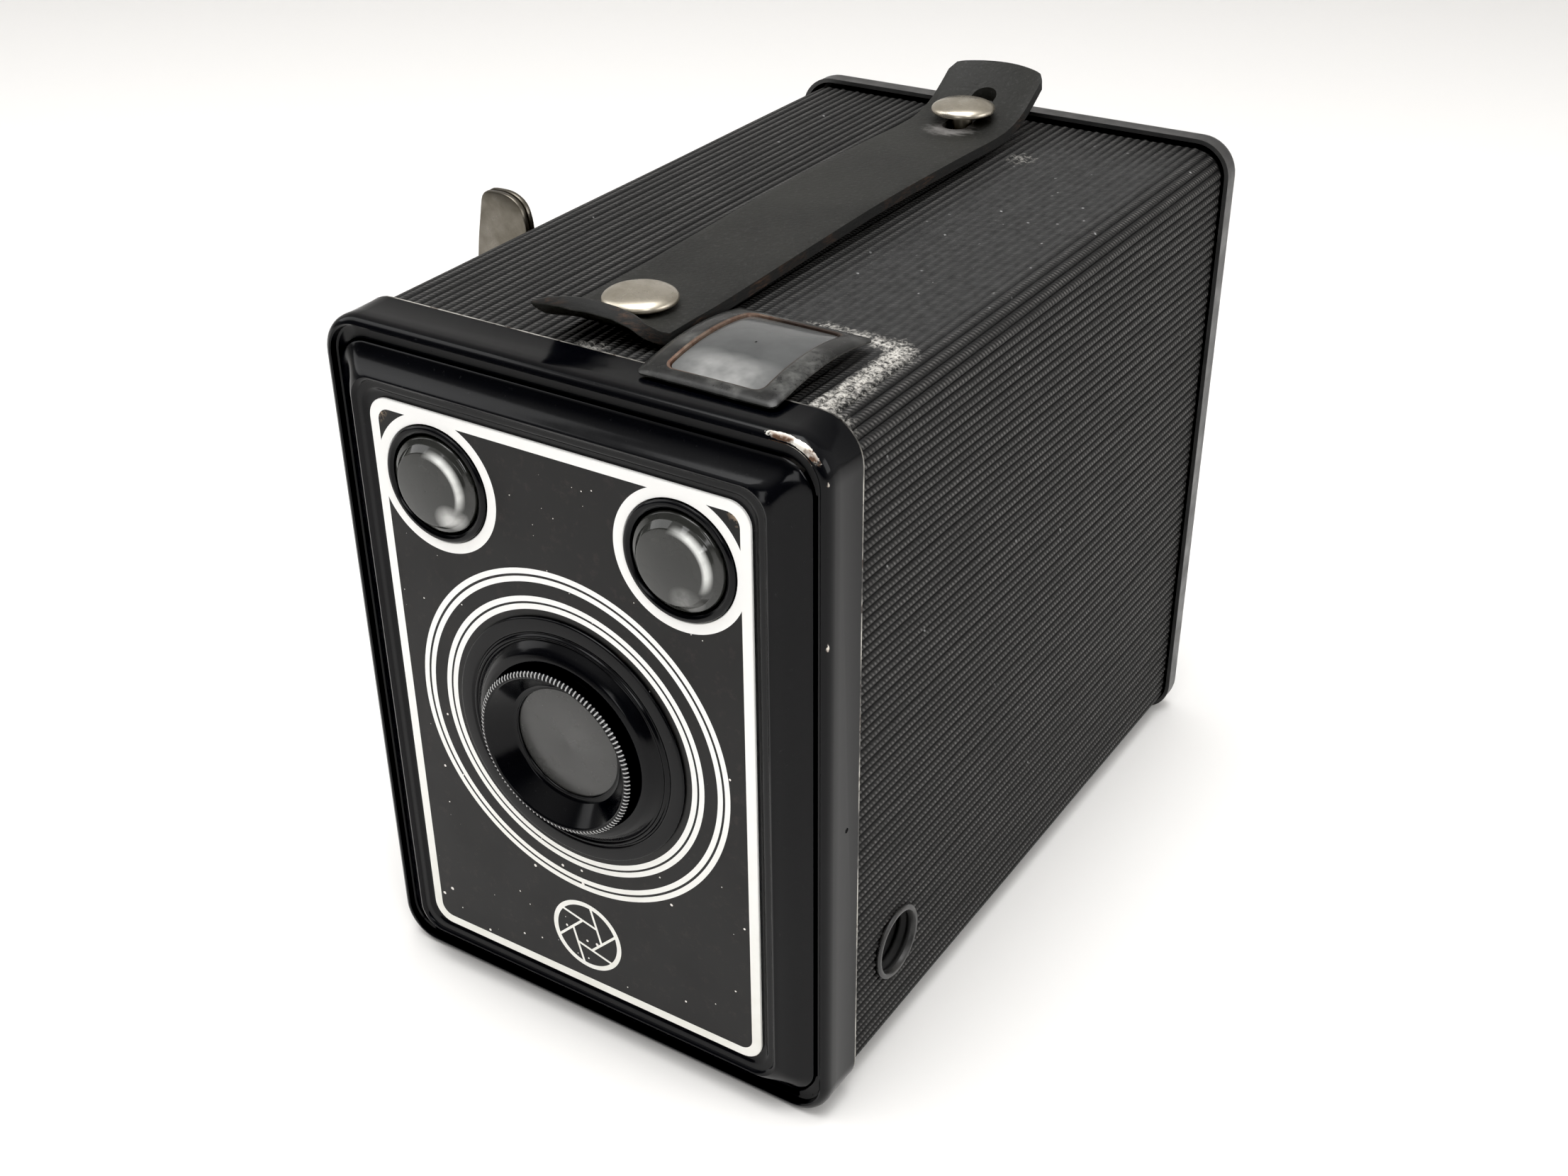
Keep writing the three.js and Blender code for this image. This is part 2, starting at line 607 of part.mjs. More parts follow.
// The cone, the gate behind it and the two side plates that hold the spools and rollers.
function filmCarrier() {
  const across = [-CARRIER.halfWidth, CARRIER.halfWidth];
  const gateFront = CARRIER.rear - GATE.thickness;
  const inside = CARRIER.halfWidth - CARRIER.wall;
  const heights = [CARRIER.bottom, CARRIER.top];
  const depths = [CARRIER.front, CARRIER.rear];
  const frame = join(
    taper(CONE.wall, CONE.front, CONE.rear),
    block(across, [gateFront, CARRIER.rear], [GATE.bottom, GATE.top]),
    block([inside, CARRIER.halfWidth], depths, heights),
    block([-CARRIER.halfWidth, -inside], depths, heights),
  );
  const pinHole = ROLLER.pin + 0.08;
  return cut(
    frame,
    taper(0, CONE.front - 1, CONE.rear - 0.4),
    block(
      [-GATE.halfWidth, GATE.halfWidth],
      [gateFront - 2, ALL[1]],
      [LENS.z - GATE.halfHeight, LENS.z + GATE.halfHeight],
    ),
    barX(pinHole, ALL, [ROLLER.depth, ROLLER.top]),
    barX(pinHole, ALL, [ROLLER.depth, ROLLER.bottom]),
    barX(KEY.barrel + 0.2, LEFT_WALL, [SPOOL.depth, SPOOL.top]),
  );
}

// A film spool along X, with a bore and a driving slot in each end.
function spool() {
  const end = SPOOL.halfLength;
  const blank = join(
    barX(SPOOL.core, [-end, end]),
    barX(SPOOL.flange, [-end, SPOOL_END.flange - end], [0, 0], ROUND),
    barX(SPOOL.flange, [end - SPOOL_END.flange, end], [0, 0], ROUND),
  );
  const bothEnds = (depth) => [[ALL[0], depth - end], [end - depth, ALL[1]]];
  const across = [-SPOOL_END.halfWidth, SPOOL_END.halfWidth];
  const along = [-SPOOL_END.halfHeight, SPOOL_END.halfHeight];
  return cut(
    blank,
    ...bothEnds(SPOOL_END.boreDepth).map((reach) => barX(SPOOL_END.bore, reach)),
    ...bothEnds(SPOOL_END.slot).map((reach) => block(reach, across, along)),
  );
}

// A pivot on the inside of a side plate, entering a spool's bore.
function spoolPivot() {
  const plate = CARRIER.halfWidth - CARRIER.wall;
  const pin = barX(SPOOL_END.bore - 0.08, [SPOOL.halfLength - 2.3, plate - 0.9]);
  return join(barX(5, [plate - 1, plate - 0.1]), pin);
}

function roller() {
  return join(barX(ROLLER.radius, [-35, 35]), barX(ROLLER.pin, [-36.4, 36.4]));
}

add(assembly, 'film_carrier', filmCarrier(), blackened);
const takeupAxis = groupAt(0, SPOOL.depth, SPOOL.top);
const supplyAxis = groupAt(0, SPOOL.depth, SPOOL.bottom);
add(takeupAxis, 'takeup_spool', spool(), wood);
add(takeupAxis, 'takeup_pivot', spoolPivot(), brass);
add(supplyAxis, 'supply_spool', spool(), wood);
add(supplyAxis, 'supply_pivot_right', spoolPivot(), brass);
add(supplyAxis, 'supply_pivot_left', spoolPivot().rotateZ(Math.PI), brass);
add(groupAt(0, ROLLER.depth, ROLLER.top), 'roller_top', roller(), nickel);
add(groupAt(0, ROLLER.depth, ROLLER.bottom), 'roller_bottom', roller(), nickel);

// ---------------------------------------------------------------- winding key, about the take-up axis
function windingKey() {
  const width = KEY.inner - KEY.outer;
  const middle = (KEY.inner + KEY.outer) / 2;
  const outline = roundedRect(width, 2 * KEY.reach, KEY_CORNER, 0, middle);
  return join(
    slab(outline, -KEY.thickness / 2, KEY.thickness / 2),
    barX(KEY.barrel, [KEY.inner - 0.5, -41.1]),
    barX(KEY.shaft, [KEY.inner, -SPOOL.halfLength - 0.1]),
    block([-SPOOL.halfLength - 0.15, 2.4 - SPOOL.halfLength], [-0.8, 0.8], [-KEY.blade, KEY.blade]),
  );
}

const keyBore = KEY.shaft + 0.08;

// The bush is bored wider inside the case, where the key's blade retires when the key is pulled.
function keyBush() {
  const outside = -shellSide - skinOutside;
  return cut(
    join(barX(6, [outside - 0.65, outside], [0, 0], ROUND), barX(KEY.barrel, [outside - 0.1, outside + 2.2])),
    barX(keyBore, ALL),
    barX(KEY.blade + 0.25, [outside + 0.05, ALL[1]]),
  );
}

add(takeupAxis, 'key_bush', keyBush(), nickel);
add(takeupAxis, 'key_washer', cut(barX(5, [-41, -40.35]), barX(keyBore, ALL)), steel);
add(takeupAxis, 'winding_key', windingKey(), nickel);

// ---------------------------------------------------------------- back cover and its hinge
function backCover() {
  const middle = BACK.height / 2;
  const outline = () => roundedRect(BACK.width, BACK.height, BACK.radius, middle);
  const inner = roundedRect(BACK.width - 2 * SHEET, BACK.height - 2 * SHEET, BACK.radius - SHEET, middle);
  const blank = join(
    bevelled(outline(), BACK.front + 0.6, BACK.rear, 1.4, 1.4, 3),
    slab(outline(), BACK.front, BACK.rear - 2),
  );
  return cut(
    blank,
    slab(inner, ALL[0], BACK.rear - SHEET),
    barY(RED_WINDOW.radius, ALL, [RED_WINDOW.x, RED_WINDOW.z], ROUND),
    barY(1.15, ALL, [RED_WINDOW.x, RED_WINDOW.z + RED_WINDOW.pivot]),
    block([-2.4, 2.4], ALL, [LATCH.stemLow - 0.4, LATCH.stemHigh + LATCH.travel + 0.4]),
  );
}

// Leaves and knuckles are about the pin's centre line.
function knuckle(reach) {
  return barX(HINGE.knuckle, reach);
}

function hingeLeafCase() {
  const blank = join(
    knuckle([-HINGE.caseHalf, HINGE.caseHalf]),
    block([-HINGE.caseHalf, HINGE.caseHalf], [-9, -0.9], [0.25, 0.85]),
  );
  return cut(blank, barX(HINGE.bore, ALL));
}

function hingeLeafBack() {
  const near = HINGE.caseHalf + 0.4;
  const heights = [-1, -0.4];
  const blank = join(
    block([-HINGE.half, HINGE.half], [1.75, 5.2], heights),
    block([near, HINGE.half], [0.9, 1.9], heights),
    block([-HINGE.half, -near], [0.9, 1.9], heights),
    knuckle([near, HINGE.half]),
    knuckle([-HINGE.half, -near]),
  );
  return cut(blank, barX(HINGE.bore, ALL));
}

// A thumb slide outside the cover, with a stem through its slot and a hook inside.
function backLatch() {
  const outside = BACK.rear + 0.2;
  const half = LATCH.width / 2;
  const middle = (LATCH.low + LATCH.high) / 2;
  return join(
    block([-half, half], [outside, outside + 0.9], [LATCH.low, LATCH.high]),
    block([-half + 1, half - 1], [outside + 0.8, outside + 2], [middle - 1.2, middle + 1.2]),
    block([-2, 2], [124.6, outside + 0.1], [LATCH.stemLow, LATCH.stemHigh]),
    block([-2, 2], [124.6, 125.8], [LATCH.stemHigh - 0.1, LATCH.stemHigh + 2.3]),
  );
}

// A bent plate under the case's top wall that the hook rises behind.
function latchCatch() {
  const top = shellTop - SHELL.wall - 0.1;
  return join(
    block([-3, 3], [118, 126.8], [top - 0.65, top]),
    block([-3, 3], [126, 126.8], [top - 3.15, top - 0.6]),
  );
}

// The swinging cover over the red window, about its rivet.
function windowCover() {
  const depths = [BACK.rear + 0.15, BACK.rear + 0.75];
  return cut(
    join(
      barY(RED_WINDOW.radius + 1.5, depths, [0, -RED_WINDOW.pivot], ROUND),
      barY(3, depths),
      block([-2.2, 2.2], depths, [-RED_WINDOW.pivot, 0]),
      block([-1.2, 1.2], [BACK.rear + 0.7, BACK.rear + 1.7], [-RED_WINDOW.pivot - 5, -RED_WINDOW.pivot + 5]),
    ),
    barY(1.08, ALL),
  );
}

function coverRivet() {
  return join(
    barY(1, [BACK.rear - SHEET - 0.2, BACK.rear + 1]),
    barY(2, [BACK.rear + 0.85, BACK.rear + 1.35]),
    barY(1.9, [BACK.rear - SHEET - 0.7, BACK.rear - SHEET - 0.1]),
  );
}

add(assembly, 'back_cover', backCover(), enamel);
const hinge = groupAt(0, HINGE.depth, HINGE.z);
add(hinge, 'hinge_leaf_case', hingeLeafCase(), steel);
add(hinge, 'hinge_leaf_back', hingeLeafBack(), steel);
add(hinge, 'hinge_pin', barX(HINGE.pin, [-HINGE.half - 0.2, HINGE.half + 0.2]), steel);
add(assembly, 'back_latch', backLatch(), nickel);
add(assembly, 'latch_catch', latchCatch(), steel);
const redWindow = groupAt(RED_WINDOW.x, 0, RED_WINDOW.z);
const redDepths = [BACK.rear - SHEET - 1.1, BACK.rear - SHEET - 0.1];
add(redWindow, 'red_window', barY(RED_WINDOW.radius + 0.8, redDepths, [0, 0], ROUND), redGlass);
const coverAxis = groupAt(RED_WINDOW.x, 0, RED_WINDOW.z + RED_WINDOW.pivot);
add(coverAxis, 'window_cover', windowCover(), enamel);
add(coverAxis, 'cover_rivet', coverRivet(), nickel);

export default camera;
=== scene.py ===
"""The looks of a metal roll-film box camera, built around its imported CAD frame.

Shapes are written in millimetres as (x, depth, z): x to the right of someone facing the lens, depth
back from the front cover's rim, z up from the standing plane. solid() turns them into the row frame.
"""

import json
import math
import random

import bmesh
import bpy
from mathutils import Matrix, Vector
from mathutils.geometry import delaunay_2d_cdt

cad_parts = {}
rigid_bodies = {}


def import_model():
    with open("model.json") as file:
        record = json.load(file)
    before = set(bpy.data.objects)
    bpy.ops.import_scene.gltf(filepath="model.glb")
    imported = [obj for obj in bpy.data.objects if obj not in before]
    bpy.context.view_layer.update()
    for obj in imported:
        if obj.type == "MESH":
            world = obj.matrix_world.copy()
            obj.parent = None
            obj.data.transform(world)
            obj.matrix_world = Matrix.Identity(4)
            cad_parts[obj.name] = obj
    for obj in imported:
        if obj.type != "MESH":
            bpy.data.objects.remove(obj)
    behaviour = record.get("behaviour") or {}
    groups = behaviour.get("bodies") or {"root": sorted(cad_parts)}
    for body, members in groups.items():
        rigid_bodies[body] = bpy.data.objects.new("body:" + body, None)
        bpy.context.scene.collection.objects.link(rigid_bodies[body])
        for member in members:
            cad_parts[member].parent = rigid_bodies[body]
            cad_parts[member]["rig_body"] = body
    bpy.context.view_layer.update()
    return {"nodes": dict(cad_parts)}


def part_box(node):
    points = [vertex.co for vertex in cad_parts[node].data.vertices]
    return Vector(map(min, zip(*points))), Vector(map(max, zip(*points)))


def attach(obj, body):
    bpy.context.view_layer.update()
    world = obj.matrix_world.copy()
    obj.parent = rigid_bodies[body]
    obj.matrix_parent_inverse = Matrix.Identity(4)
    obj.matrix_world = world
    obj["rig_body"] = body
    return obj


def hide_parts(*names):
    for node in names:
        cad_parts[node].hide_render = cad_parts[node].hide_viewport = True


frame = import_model()

MM = 0.001
TAU = 2 * math.pi


def span(node):
    """A CAD node's lowest and highest corners, in millimetres of x, row y and z."""
    low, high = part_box(node)
    return low / MM, high / MM


# ---------------------------------------------------------------- driving dimensions from the frame
cover_low, cover_high = span("front_cover")
back_low, back_high = span("back_cover")
skin_low, skin_high = span("leatherette")
bezel_low, bezel_high = span("lens_bezel")
finder_low, finder_high = span("finder_ring_right")
plate_low, plate_high = span("face_plate")

FLANGE_DEPTH = 8.3                        # how far the front cover's flange reaches back
RIM_Y = cover_high.y - FLANGE_DEPTH       # the front rim's plane in the row frame
MIDDLE_Z = (cover_low.z + cover_high.z) / 2
LENS_Z = (bezel_low.z + bezel_high.z) / 2
FINDER_X = (finder_low.x + finder_high.x) / 2
FINDER_Z = (finder_low.z + finder_high.z) / 2
PLATE_Z = (plate_low.z + plate_high.z) / 2
PLATE_HALF_WIDTH = plate_high.x
PLATE_HALF_HEIGHT = (plate_high.z - plate_low.z) / 2
SHEET = 0.7
BORE = 16.3            # the lens opening in the face plate
FINDER_HOLE = 8.75     # the finder openings in the face plate
PANE_HALF = 7.2        # half the opening under a finder's window
PANE_DEPTHS = (5.3, 25.5)
STUD_DEPTHS = (19, 109)
BUSH_DEPTH, BUSH_Z = 21.3, 19
SPOOL_DEPTH, SPOOL_Z = 48, 94.2


# ---------------------------------------------------------------- outlines
def rounded_rect(half_x, half_z, radius, x=0, z=0, corner=8, side=1):
    """Points anticlockwise round a rounded rectangle: `corner` steps a corner, `side` steps a side."""
    arcs = []
    for turn, sx, sz in ((-90, 1, -1), (0, 1, 1), (90, -1, 1), (180, -1, -1)):
        cx, cz = x + sx * (half_x - radius), z + sz * (half_z - radius)
        angles = [math.radians(turn + 90 * i / corner) for i in range(corner + 1)]
        arcs.append([(cx + radius * math.cos(angle), cz + radius * math.sin(angle)) for angle in angles])
    points = []
    for arc, following in zip(arcs, arcs[1:] + arcs[:1]):
        (x0, z0), (x1, z1) = arc[-1], following[0]
        points += arc
        points += [(x0 + (x1 - x0) * i / side, z0 + (z1 - z0) * i / side) for i in range(1, side)]
    return points


def circle(radius, x=0, z=0, steps=64):
    angles = [TAU * i / steps for i in range(steps)]
    return [(x + radius * math.cos(angle), z + radius * math.sin(angle)) for angle in angles]


def grown(points, amount):
    """A closed outline moved outwards by `amount`, or inwards where it is negative."""
    count = len(points)
    area = sum(points[i][0] * points[(i + 1) % count][1] - points[(i + 1) % count][0] * points[i][1]
               for i in range(count))
    sign = 1 if area > 0 else -1
    moved = []
    for i in range(count):
        before = Vector(points[i]) - Vector(points[i - 1])
        after = Vector(points[(i + 1) % count]) - Vector(points[i])
        normal = (Vector((before.y, -before.x)).normalized() + Vector((after.y, -after.x)).normalized())
        reach = max(normal.length / 2, 0.4)
        moved.append(tuple(Vector(points[i]) + normal.normalized() * sign * amount / reach))
    return moved


def softened(points, reach, steps=3, closed=True):
    """A profile with each corner rounded off over `reach`."""
    count = len(points)
    smooth = []
    for i in range(count):
        here = Vector(points[i])
        if not closed and i in (0, count - 1):
            smooth.append(tuple(here))
            continue
        before, after = Vector(points[i - 1]) - here, Vector(points[(i + 1) % count]) - here
        start = here + before.normalized() * min(reach, before.length * 0.45)
        end = here + after.normalized() * min(reach, after.length * 0.45)
        for step in range(steps + 1):
            t = step / steps
            smooth.append(tuple(start * (1 - t) ** 2 + here * 2 * t * (1 - t) + end * t * t))
    return smooth


def inside_polygon(x, z, polygon):
    hit = False
    for i in range(len(polygon)):
        (x0, z0), (x1, z1) = polygon[i - 1], polygon[i]
        if (z0 > z) != (z1 > z) and x < (x1 - x0) * (z - z0) / (z1 - z0) + x0:
            hit = not hit
    return hit


def filled(loops, holes):
    """Triangles inside the first outline, cut along every loop and left out of the holes.

    Gives the vertices, the triangles and each triangle's middle."""
    points, edges = [], []
    for loop in loops:
        start = len(points)
        points += [Vector(p) for p in loop]
        edges += [(start + i, start + (i + 1) % len(loop)) for i in range(len(loop))]
    verts, _, faces, *_ = delaunay_2d_cdt(points, edges, [], 1, 1e-5)
    kept, middles = [], []
    for face in faces:
        x, z = sum(verts[i].x for i in face) / 3, sum(verts[i].y for i in face) / 3
        if not any(inside_polygon(x, z, hole) for hole in holes):
            kept.append(face)
            middles.append((x, z))
    return verts, kept, middles


# ---------------------------------------------------------------- solids
class Shell:
    """Vertices in millimetres and faces, each face with the index of its material."""

    def __init__(self):
        self.verts, self.faces, self.marks, self.uvs = [], [], [], None

    def add(self, verts, faces, mark=0):
        start = len(self.verts)
        self.verts += [tuple(v) for v in verts]
        self.faces += [tuple(start + i for i in face) for face in faces]
        self.marks += [mark] * len(faces)
        return self

    def rings(self, rings, mark=0, wrap=False):
        """Skin between rings of equally many points; `wrap` joins the last ring to the first."""
        count = len(rings[0])
        verts = [v for ring in rings for v in ring]
        faces = []
        for r in range(len(rings) if wrap else len(rings) - 1):
            a, b = r * count, ((r + 1) % len(rings)) * count
            faces += [(a + i, a + (i + 1) % count, b + (i + 1) % count, b + i) for i in range(count)]
        return self.add(verts, faces, mark)

    def walls(self, rows, mark=0):
        """Skin between (outline, depth) rows."""
        return self.rings([[(x, depth, z) for x, z in outline] for outline, depth in rows], mark)

    def cap(self, loops, depth, mark=0):
        """A flat face at one depth inside the first outline and outside the others."""
        verts, faces, _ = filled(loops, loops[1:])
        return self.add([(v.x, depth, v.y) for v in verts], faces, mark)

    def slab(self, outline, front, rear, holes=(), soft=0.1, mark=0):
        """An outline in x and z made solid between two depths, with its edges rounded off by `soft`."""
        def strip(loop, inwards):
            near, far = grown(loop, -inwards * soft * 0.3), grown(loop, -inwards * soft)
            self.walls(((far, front), (near, front + soft * 0.3), (loop, front + soft),
                        (loop, rear - soft), (near, rear - soft * 0.3), (far, rear)), mark)
            return far
        loops = [strip(outline, 1)] + [strip(hole, -1) for hole in holes]
        self.cap(loops, front, mark)
        return self.cap(loops, rear, mark)

    def turned(self, profile, centre=(0, 0), axis="y", sides=96, ripple=None, mark=0, closed=True):
        """A closed profile of (radius, place along the axis), turned about an axis through `centre`."""
        rings = []
        for radius, place in profile:
            ring = []
            for i in range(sides):
                angle = TAU * i / sides
                r = max(radius, 0.001) + (ripple(angle, radius) if ripple else 0)
                a, b = r * math.cos(angle), r * math.sin(angle)
                ring.append({
                    "y": (centre[0] + a, place, centre[1] + b),
                    "z": (centre[0] + a, centre[1] + b, place),
                    "x": (place, centre[0] + a, centre[1] + b),
                }[axis])
            rings.append(ring)
        return self.rings(rings, mark, wrap=closed)

    def box(self, low, high, mark=0):
        (x0, y0, z0), (x1, y1, z1) = low, high
        verts = [(x, y, z) for x in (x0, x1) for y in (y0, y1) for z in (z0, z1)]
        faces = [(0, 1, 3, 2), (4, 6, 7, 5), (0, 4, 5, 1), (2, 3, 7, 6), (0, 2, 6, 4), (1, 5, 7, 3)]
        return self.add(verts, faces, mark)


def to_mesh(name, shell, flat_angle=32):
    mesh = bpy.data.meshes.new(name)
    places = [(x * MM, (depth + RIM_Y) * MM, z * MM) for x, depth, z in shell.verts]
    mesh.from_pydata(places, [], shell.faces)
    mesh.polygons.foreach_set("material_index", shell.marks)
    if shell.uvs:
        layer = mesh.uv_layers.new(name="Ribs")
        layer.data.foreach_set("uv", [c for loop in mesh.loops for c in shell.uvs[loop.vertex_index]])
    work = bmesh.new()
    work.from_mesh(mesh)
    bmesh.ops.remove_doubles(work, verts=work.verts, dist=1e-6)
    bmesh.ops.dissolve_degenerate(work, edges=work.edges, dist=1e-7)
    bmesh.ops.recalc_face_normals(work, faces=work.faces)
    work.to_mesh(mesh)
    work.free()
    mesh.shade_smooth()
    mesh.set_sharp_from_angle(angle=math.radians(flat_angle))
    return mesh


def solid(name, shell, slot, finishes, *nodes, cutter=None, flat_angle=32):
    """Makes a piece that stands for the named CAD nodes and rides on their body."""
    piece = bpy.data.objects.new(name, to_mesh(name, shell, flat_angle))
    bpy.context.scene.collection.objects.link(piece)
    for finish in finishes:
        piece.data.materials.append(finish)
    if cutter:
        tool = bpy.data.objects.new(name + "_cut", to_mesh(name + "_cut", cutter))
        bpy.context.scene.collection.objects.link(tool)
        boolean = piece.modifiers.new("cut", "BOOLEAN")
        boolean.object, boolean.operation, boolean.solver = tool, "DIFFERENCE", "EXACT"
        cut = bpy.data.meshes.new_from_object(piece.evaluated_get(bpy.context.evaluated_depsgraph_get()))
        piece.modifiers.clear()
        piece.data = cut
        cut.name = name
        cut.set_sharp_from_angle(angle=math.radians(flat_angle))
        bpy.data.objects.remove(tool)
    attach(piece, frame["nodes"][nodes[0]]["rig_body"])
    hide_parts(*nodes)
    return piece


# ---------------------------------------------------------------- materials
class Signal:
    """A node's output, which plain arithmetic turns into further Math nodes."""

    def __init__(self, finish, socket):
        self.finish, self.socket = finish, socket

    def __add__(self, other):
        return self.finish.math("ADD", self, other)

    def __sub__(self, other):
        return self.finish.math("SUBTRACT", self, other)

    def __rsub__(self, other):
        return self.finish.math("SUBTRACT", other, self)

    def __mul__(self, other):
        return self.finish.math("MULTIPLY", self, other)

    def __pow__(self, other):
        return self.finish.math("POWER", self, other)

    def most(self, *others):
        """The largest of this and the others."""
        top = self
        for other in others:
            top = self.finish.math("MAXIMUM", top, other)
        return top


class Finish:
    """A node material round one Principled shader, with positions in metres of the row frame."""

    def __init__(self, name, **sockets):
        self.material = bpy.data.materials.new(name)
        self.material.use_nodes = True
        self.tree = self.material.node_tree
        self.shader = self.tree.nodes["Principled BSDF"]
        self.place = self.node("ShaderNodeTexCoord").outputs["Object"]
        self.put(**sockets)

    def node(self, kind, *values, **settings):
        made = self.tree.nodes.new(kind)
        for key, value in settings.items():
            setattr(made, key, value)
        for socket, value in zip(made.inputs, values):
            self.give(socket, value)
        return made

    def give(self, socket, value):
        if isinstance(value, Signal):
            value = value.socket
        if isinstance(value, bpy.types.NodeSocket):
            self.tree.links.new(value, socket)
        elif value is not None:
            socket.default_value = value

    def put(self, **sockets):
        for key, value in sockets.items():
            self.give(self.shader.inputs[key.replace("_", " ")], value)

    def out(self, kind, *values, output=0, **settings):
        """A new node's output, ready for arithmetic."""
        return Signal(self, self.node(kind, *values, **settings).outputs[output])

    def math(self, operation, a, b=0.0):
        return self.out("ShaderNodeMath", a, b, operation=operation)

    def noise(self, scale, detail=3.0, rough=0.55, place=None, stretch=None):
        where = place or self.place
        if stretch:
            where = self.out("ShaderNodeVectorMath", where, stretch, operation="MULTIPLY")
        made = self.node("ShaderNodeTexNoise", where)
        made.inputs["Scale"].default_value = scale
        made.inputs["Detail"].default_value = detail
        made.inputs["Roughness"].default_value = rough
        return Signal(self, made.outputs[0])

    def cells(self, scale, place=None, dimensions="3D"):
        """Scattered cells: the distance to the nearest one's centre, and its random colour."""
        made = self.node("ShaderNodeTexVoronoi", place or self.place, voronoi_dimensions=dimensions)
        made.inputs["Scale"].default_value = scale
        return Signal(self, made.outputs["Distance"]), Signal(self, made.outputs["Color"])

    def range(self, value, low, high, to_low=0.0, to_high=1.0):
        return self.out("ShaderNodeMapRange", value, low, high, to_low, to_high, clamp=True)

    def near(self, point, reach):
        """1 at a point of (x, depth, z) millimetres, falling to 0 at `reach` millimetres."""
        x, depth, z = point
        centre = (x * MM, (depth + RIM_Y) * MM, z * MM)
        gap = self.out("ShaderNodeVectorMath", self.place, centre, output="Value", operation="DISTANCE")
        return self.range(gap, 0.0, reach * MM, 1.0, 0.0)

    def axes(self, place=None):
        parts = self.node("ShaderNodeSeparateXYZ", place or self.place).outputs
        return [Signal(self, part) for part in parts]

    def mix(self, factor, a, b):
        made = self.node("ShaderNodeMix", data_type="RGBA")
        for socket, value in ((made.inputs["Factor"], factor), (made.inputs[6], a), (made.inputs[7], b)):
            self.give(socket, value)
        return Signal(self, made.outputs[2])

    def bump(self, height, strength, distance, under=None):
        made = self.node("ShaderNodeBump")
        made.inputs["Strength"].default_value = strength
        made.inputs["Distance"].default_value = distance * MM
        self.give(made.inputs["Height"], height)
        self.give(made.inputs["Normal"], under)
        return Signal(self, made.outputs[0])


def grey(value, warmth=0.0):
    return (value * (1 + warmth), value, value * (1 - warmth), 1)


def enamel():
    """Black stoved enamel: deep gloss, a fine orange peel, dust, and bare metal where it is worn."""
    f = Finish("black_enamel", IOR=1.5, Specular_IOR_Level=0.17)
    colour = f.mix(f.noise(60, 4), (0.0012, 0.0013, 0.0017, 1), (0.0032, 0.0034, 0.0044, 1))
    colour = f.mix(f.range(f.noise(1500, 5, 0.75), 0.64, 0.76) * 0.22, colour, grey(0.09))
    # the rim's top right corner is worn to the metal, with two small chips below it
    worn = f.near((34.0, 0.4, 109.7), 3.6).most(
        f.near((37.2, 0.4, 108.8), 3.8),
        f.near((40.3, 0.9, 104.6), 1.2) * 0.7, f.near((40.3, 0.9, 82.0), 1.3) * 0.7)
    depth = f.axes()[1] - RIM_Y * MM
    edge = f.range(depth, -0.0001, 0.0001) * f.range(depth, 0.0011, 0.0006)
    bare = f.range(worn ** 0.5 * edge + f.noise(900, 5, 0.8) * 0.8, 1.02, 1.08)
    cut_edge = f.range(depth, 0.00802, 0.00812) * f.range(f.noise(90, 4, 0.7), 0.42, 0.60, 0.05, 0.6)
    bare = bare.most(cut_edge)
    bright = f.mix(f.noise(1100, 4), (0.72, 0.68, 0.58, 1), (1.0, 0.98, 0.94, 1))
    rust = f.range(f.noise(700, 3), 0.56, 0.62).most(f.range(depth, 0.0009, 0.0003))
    bright = f.mix(rust * f.range(f.noise(500, 3), 0.40, 0.56), bright, (0.12, 0.07, 0.045, 1))
    shine = f.range(f.noise(130, 3), 0.3, 0.75, 0.10, 0.19)
    f.put(Base_Color=f.mix(bare, colour, bright), Metallic=bare * 0.8, Roughness=shine.most(bare * 0.45))
    peel = f.bump(f.noise(500, 2), 0.04, 0.12)
    f.put(Normal=f.bump(bare * -1.0, 0.5, 0.06, f.bump(f.noise(2600, 3, 0.7), 0.03, 0.02, peel)))
    return f.material


def satin_black(name, tone=0.02, rough=0.42, wear=0.25):
    """Semi-matt black paint over steel, rubbed grey in patches."""
    f = Finish(name)
    rubbed = f.range(f.noise(150, 6, 0.7), 0.45, 0.8)
    speck = f.range(f.noise(1400, 4, 0.8), 0.66, 0.78)
    colour = f.mix(rubbed * wear, grey(tone), grey(0.16, 0.06))
    f.put(Base_Color=f.mix(speck * 0.5, colour, grey(0.16)), Metallic=rubbed * (0.4 * wear),
          Roughness=f.range(f.noise(240, 4), 0.3, 0.7, rough - 0.08, rough + 0.12),
          Normal=f.bump(f.noise(1100, 5, 0.7), 0.12, 0.06))
    return f.material


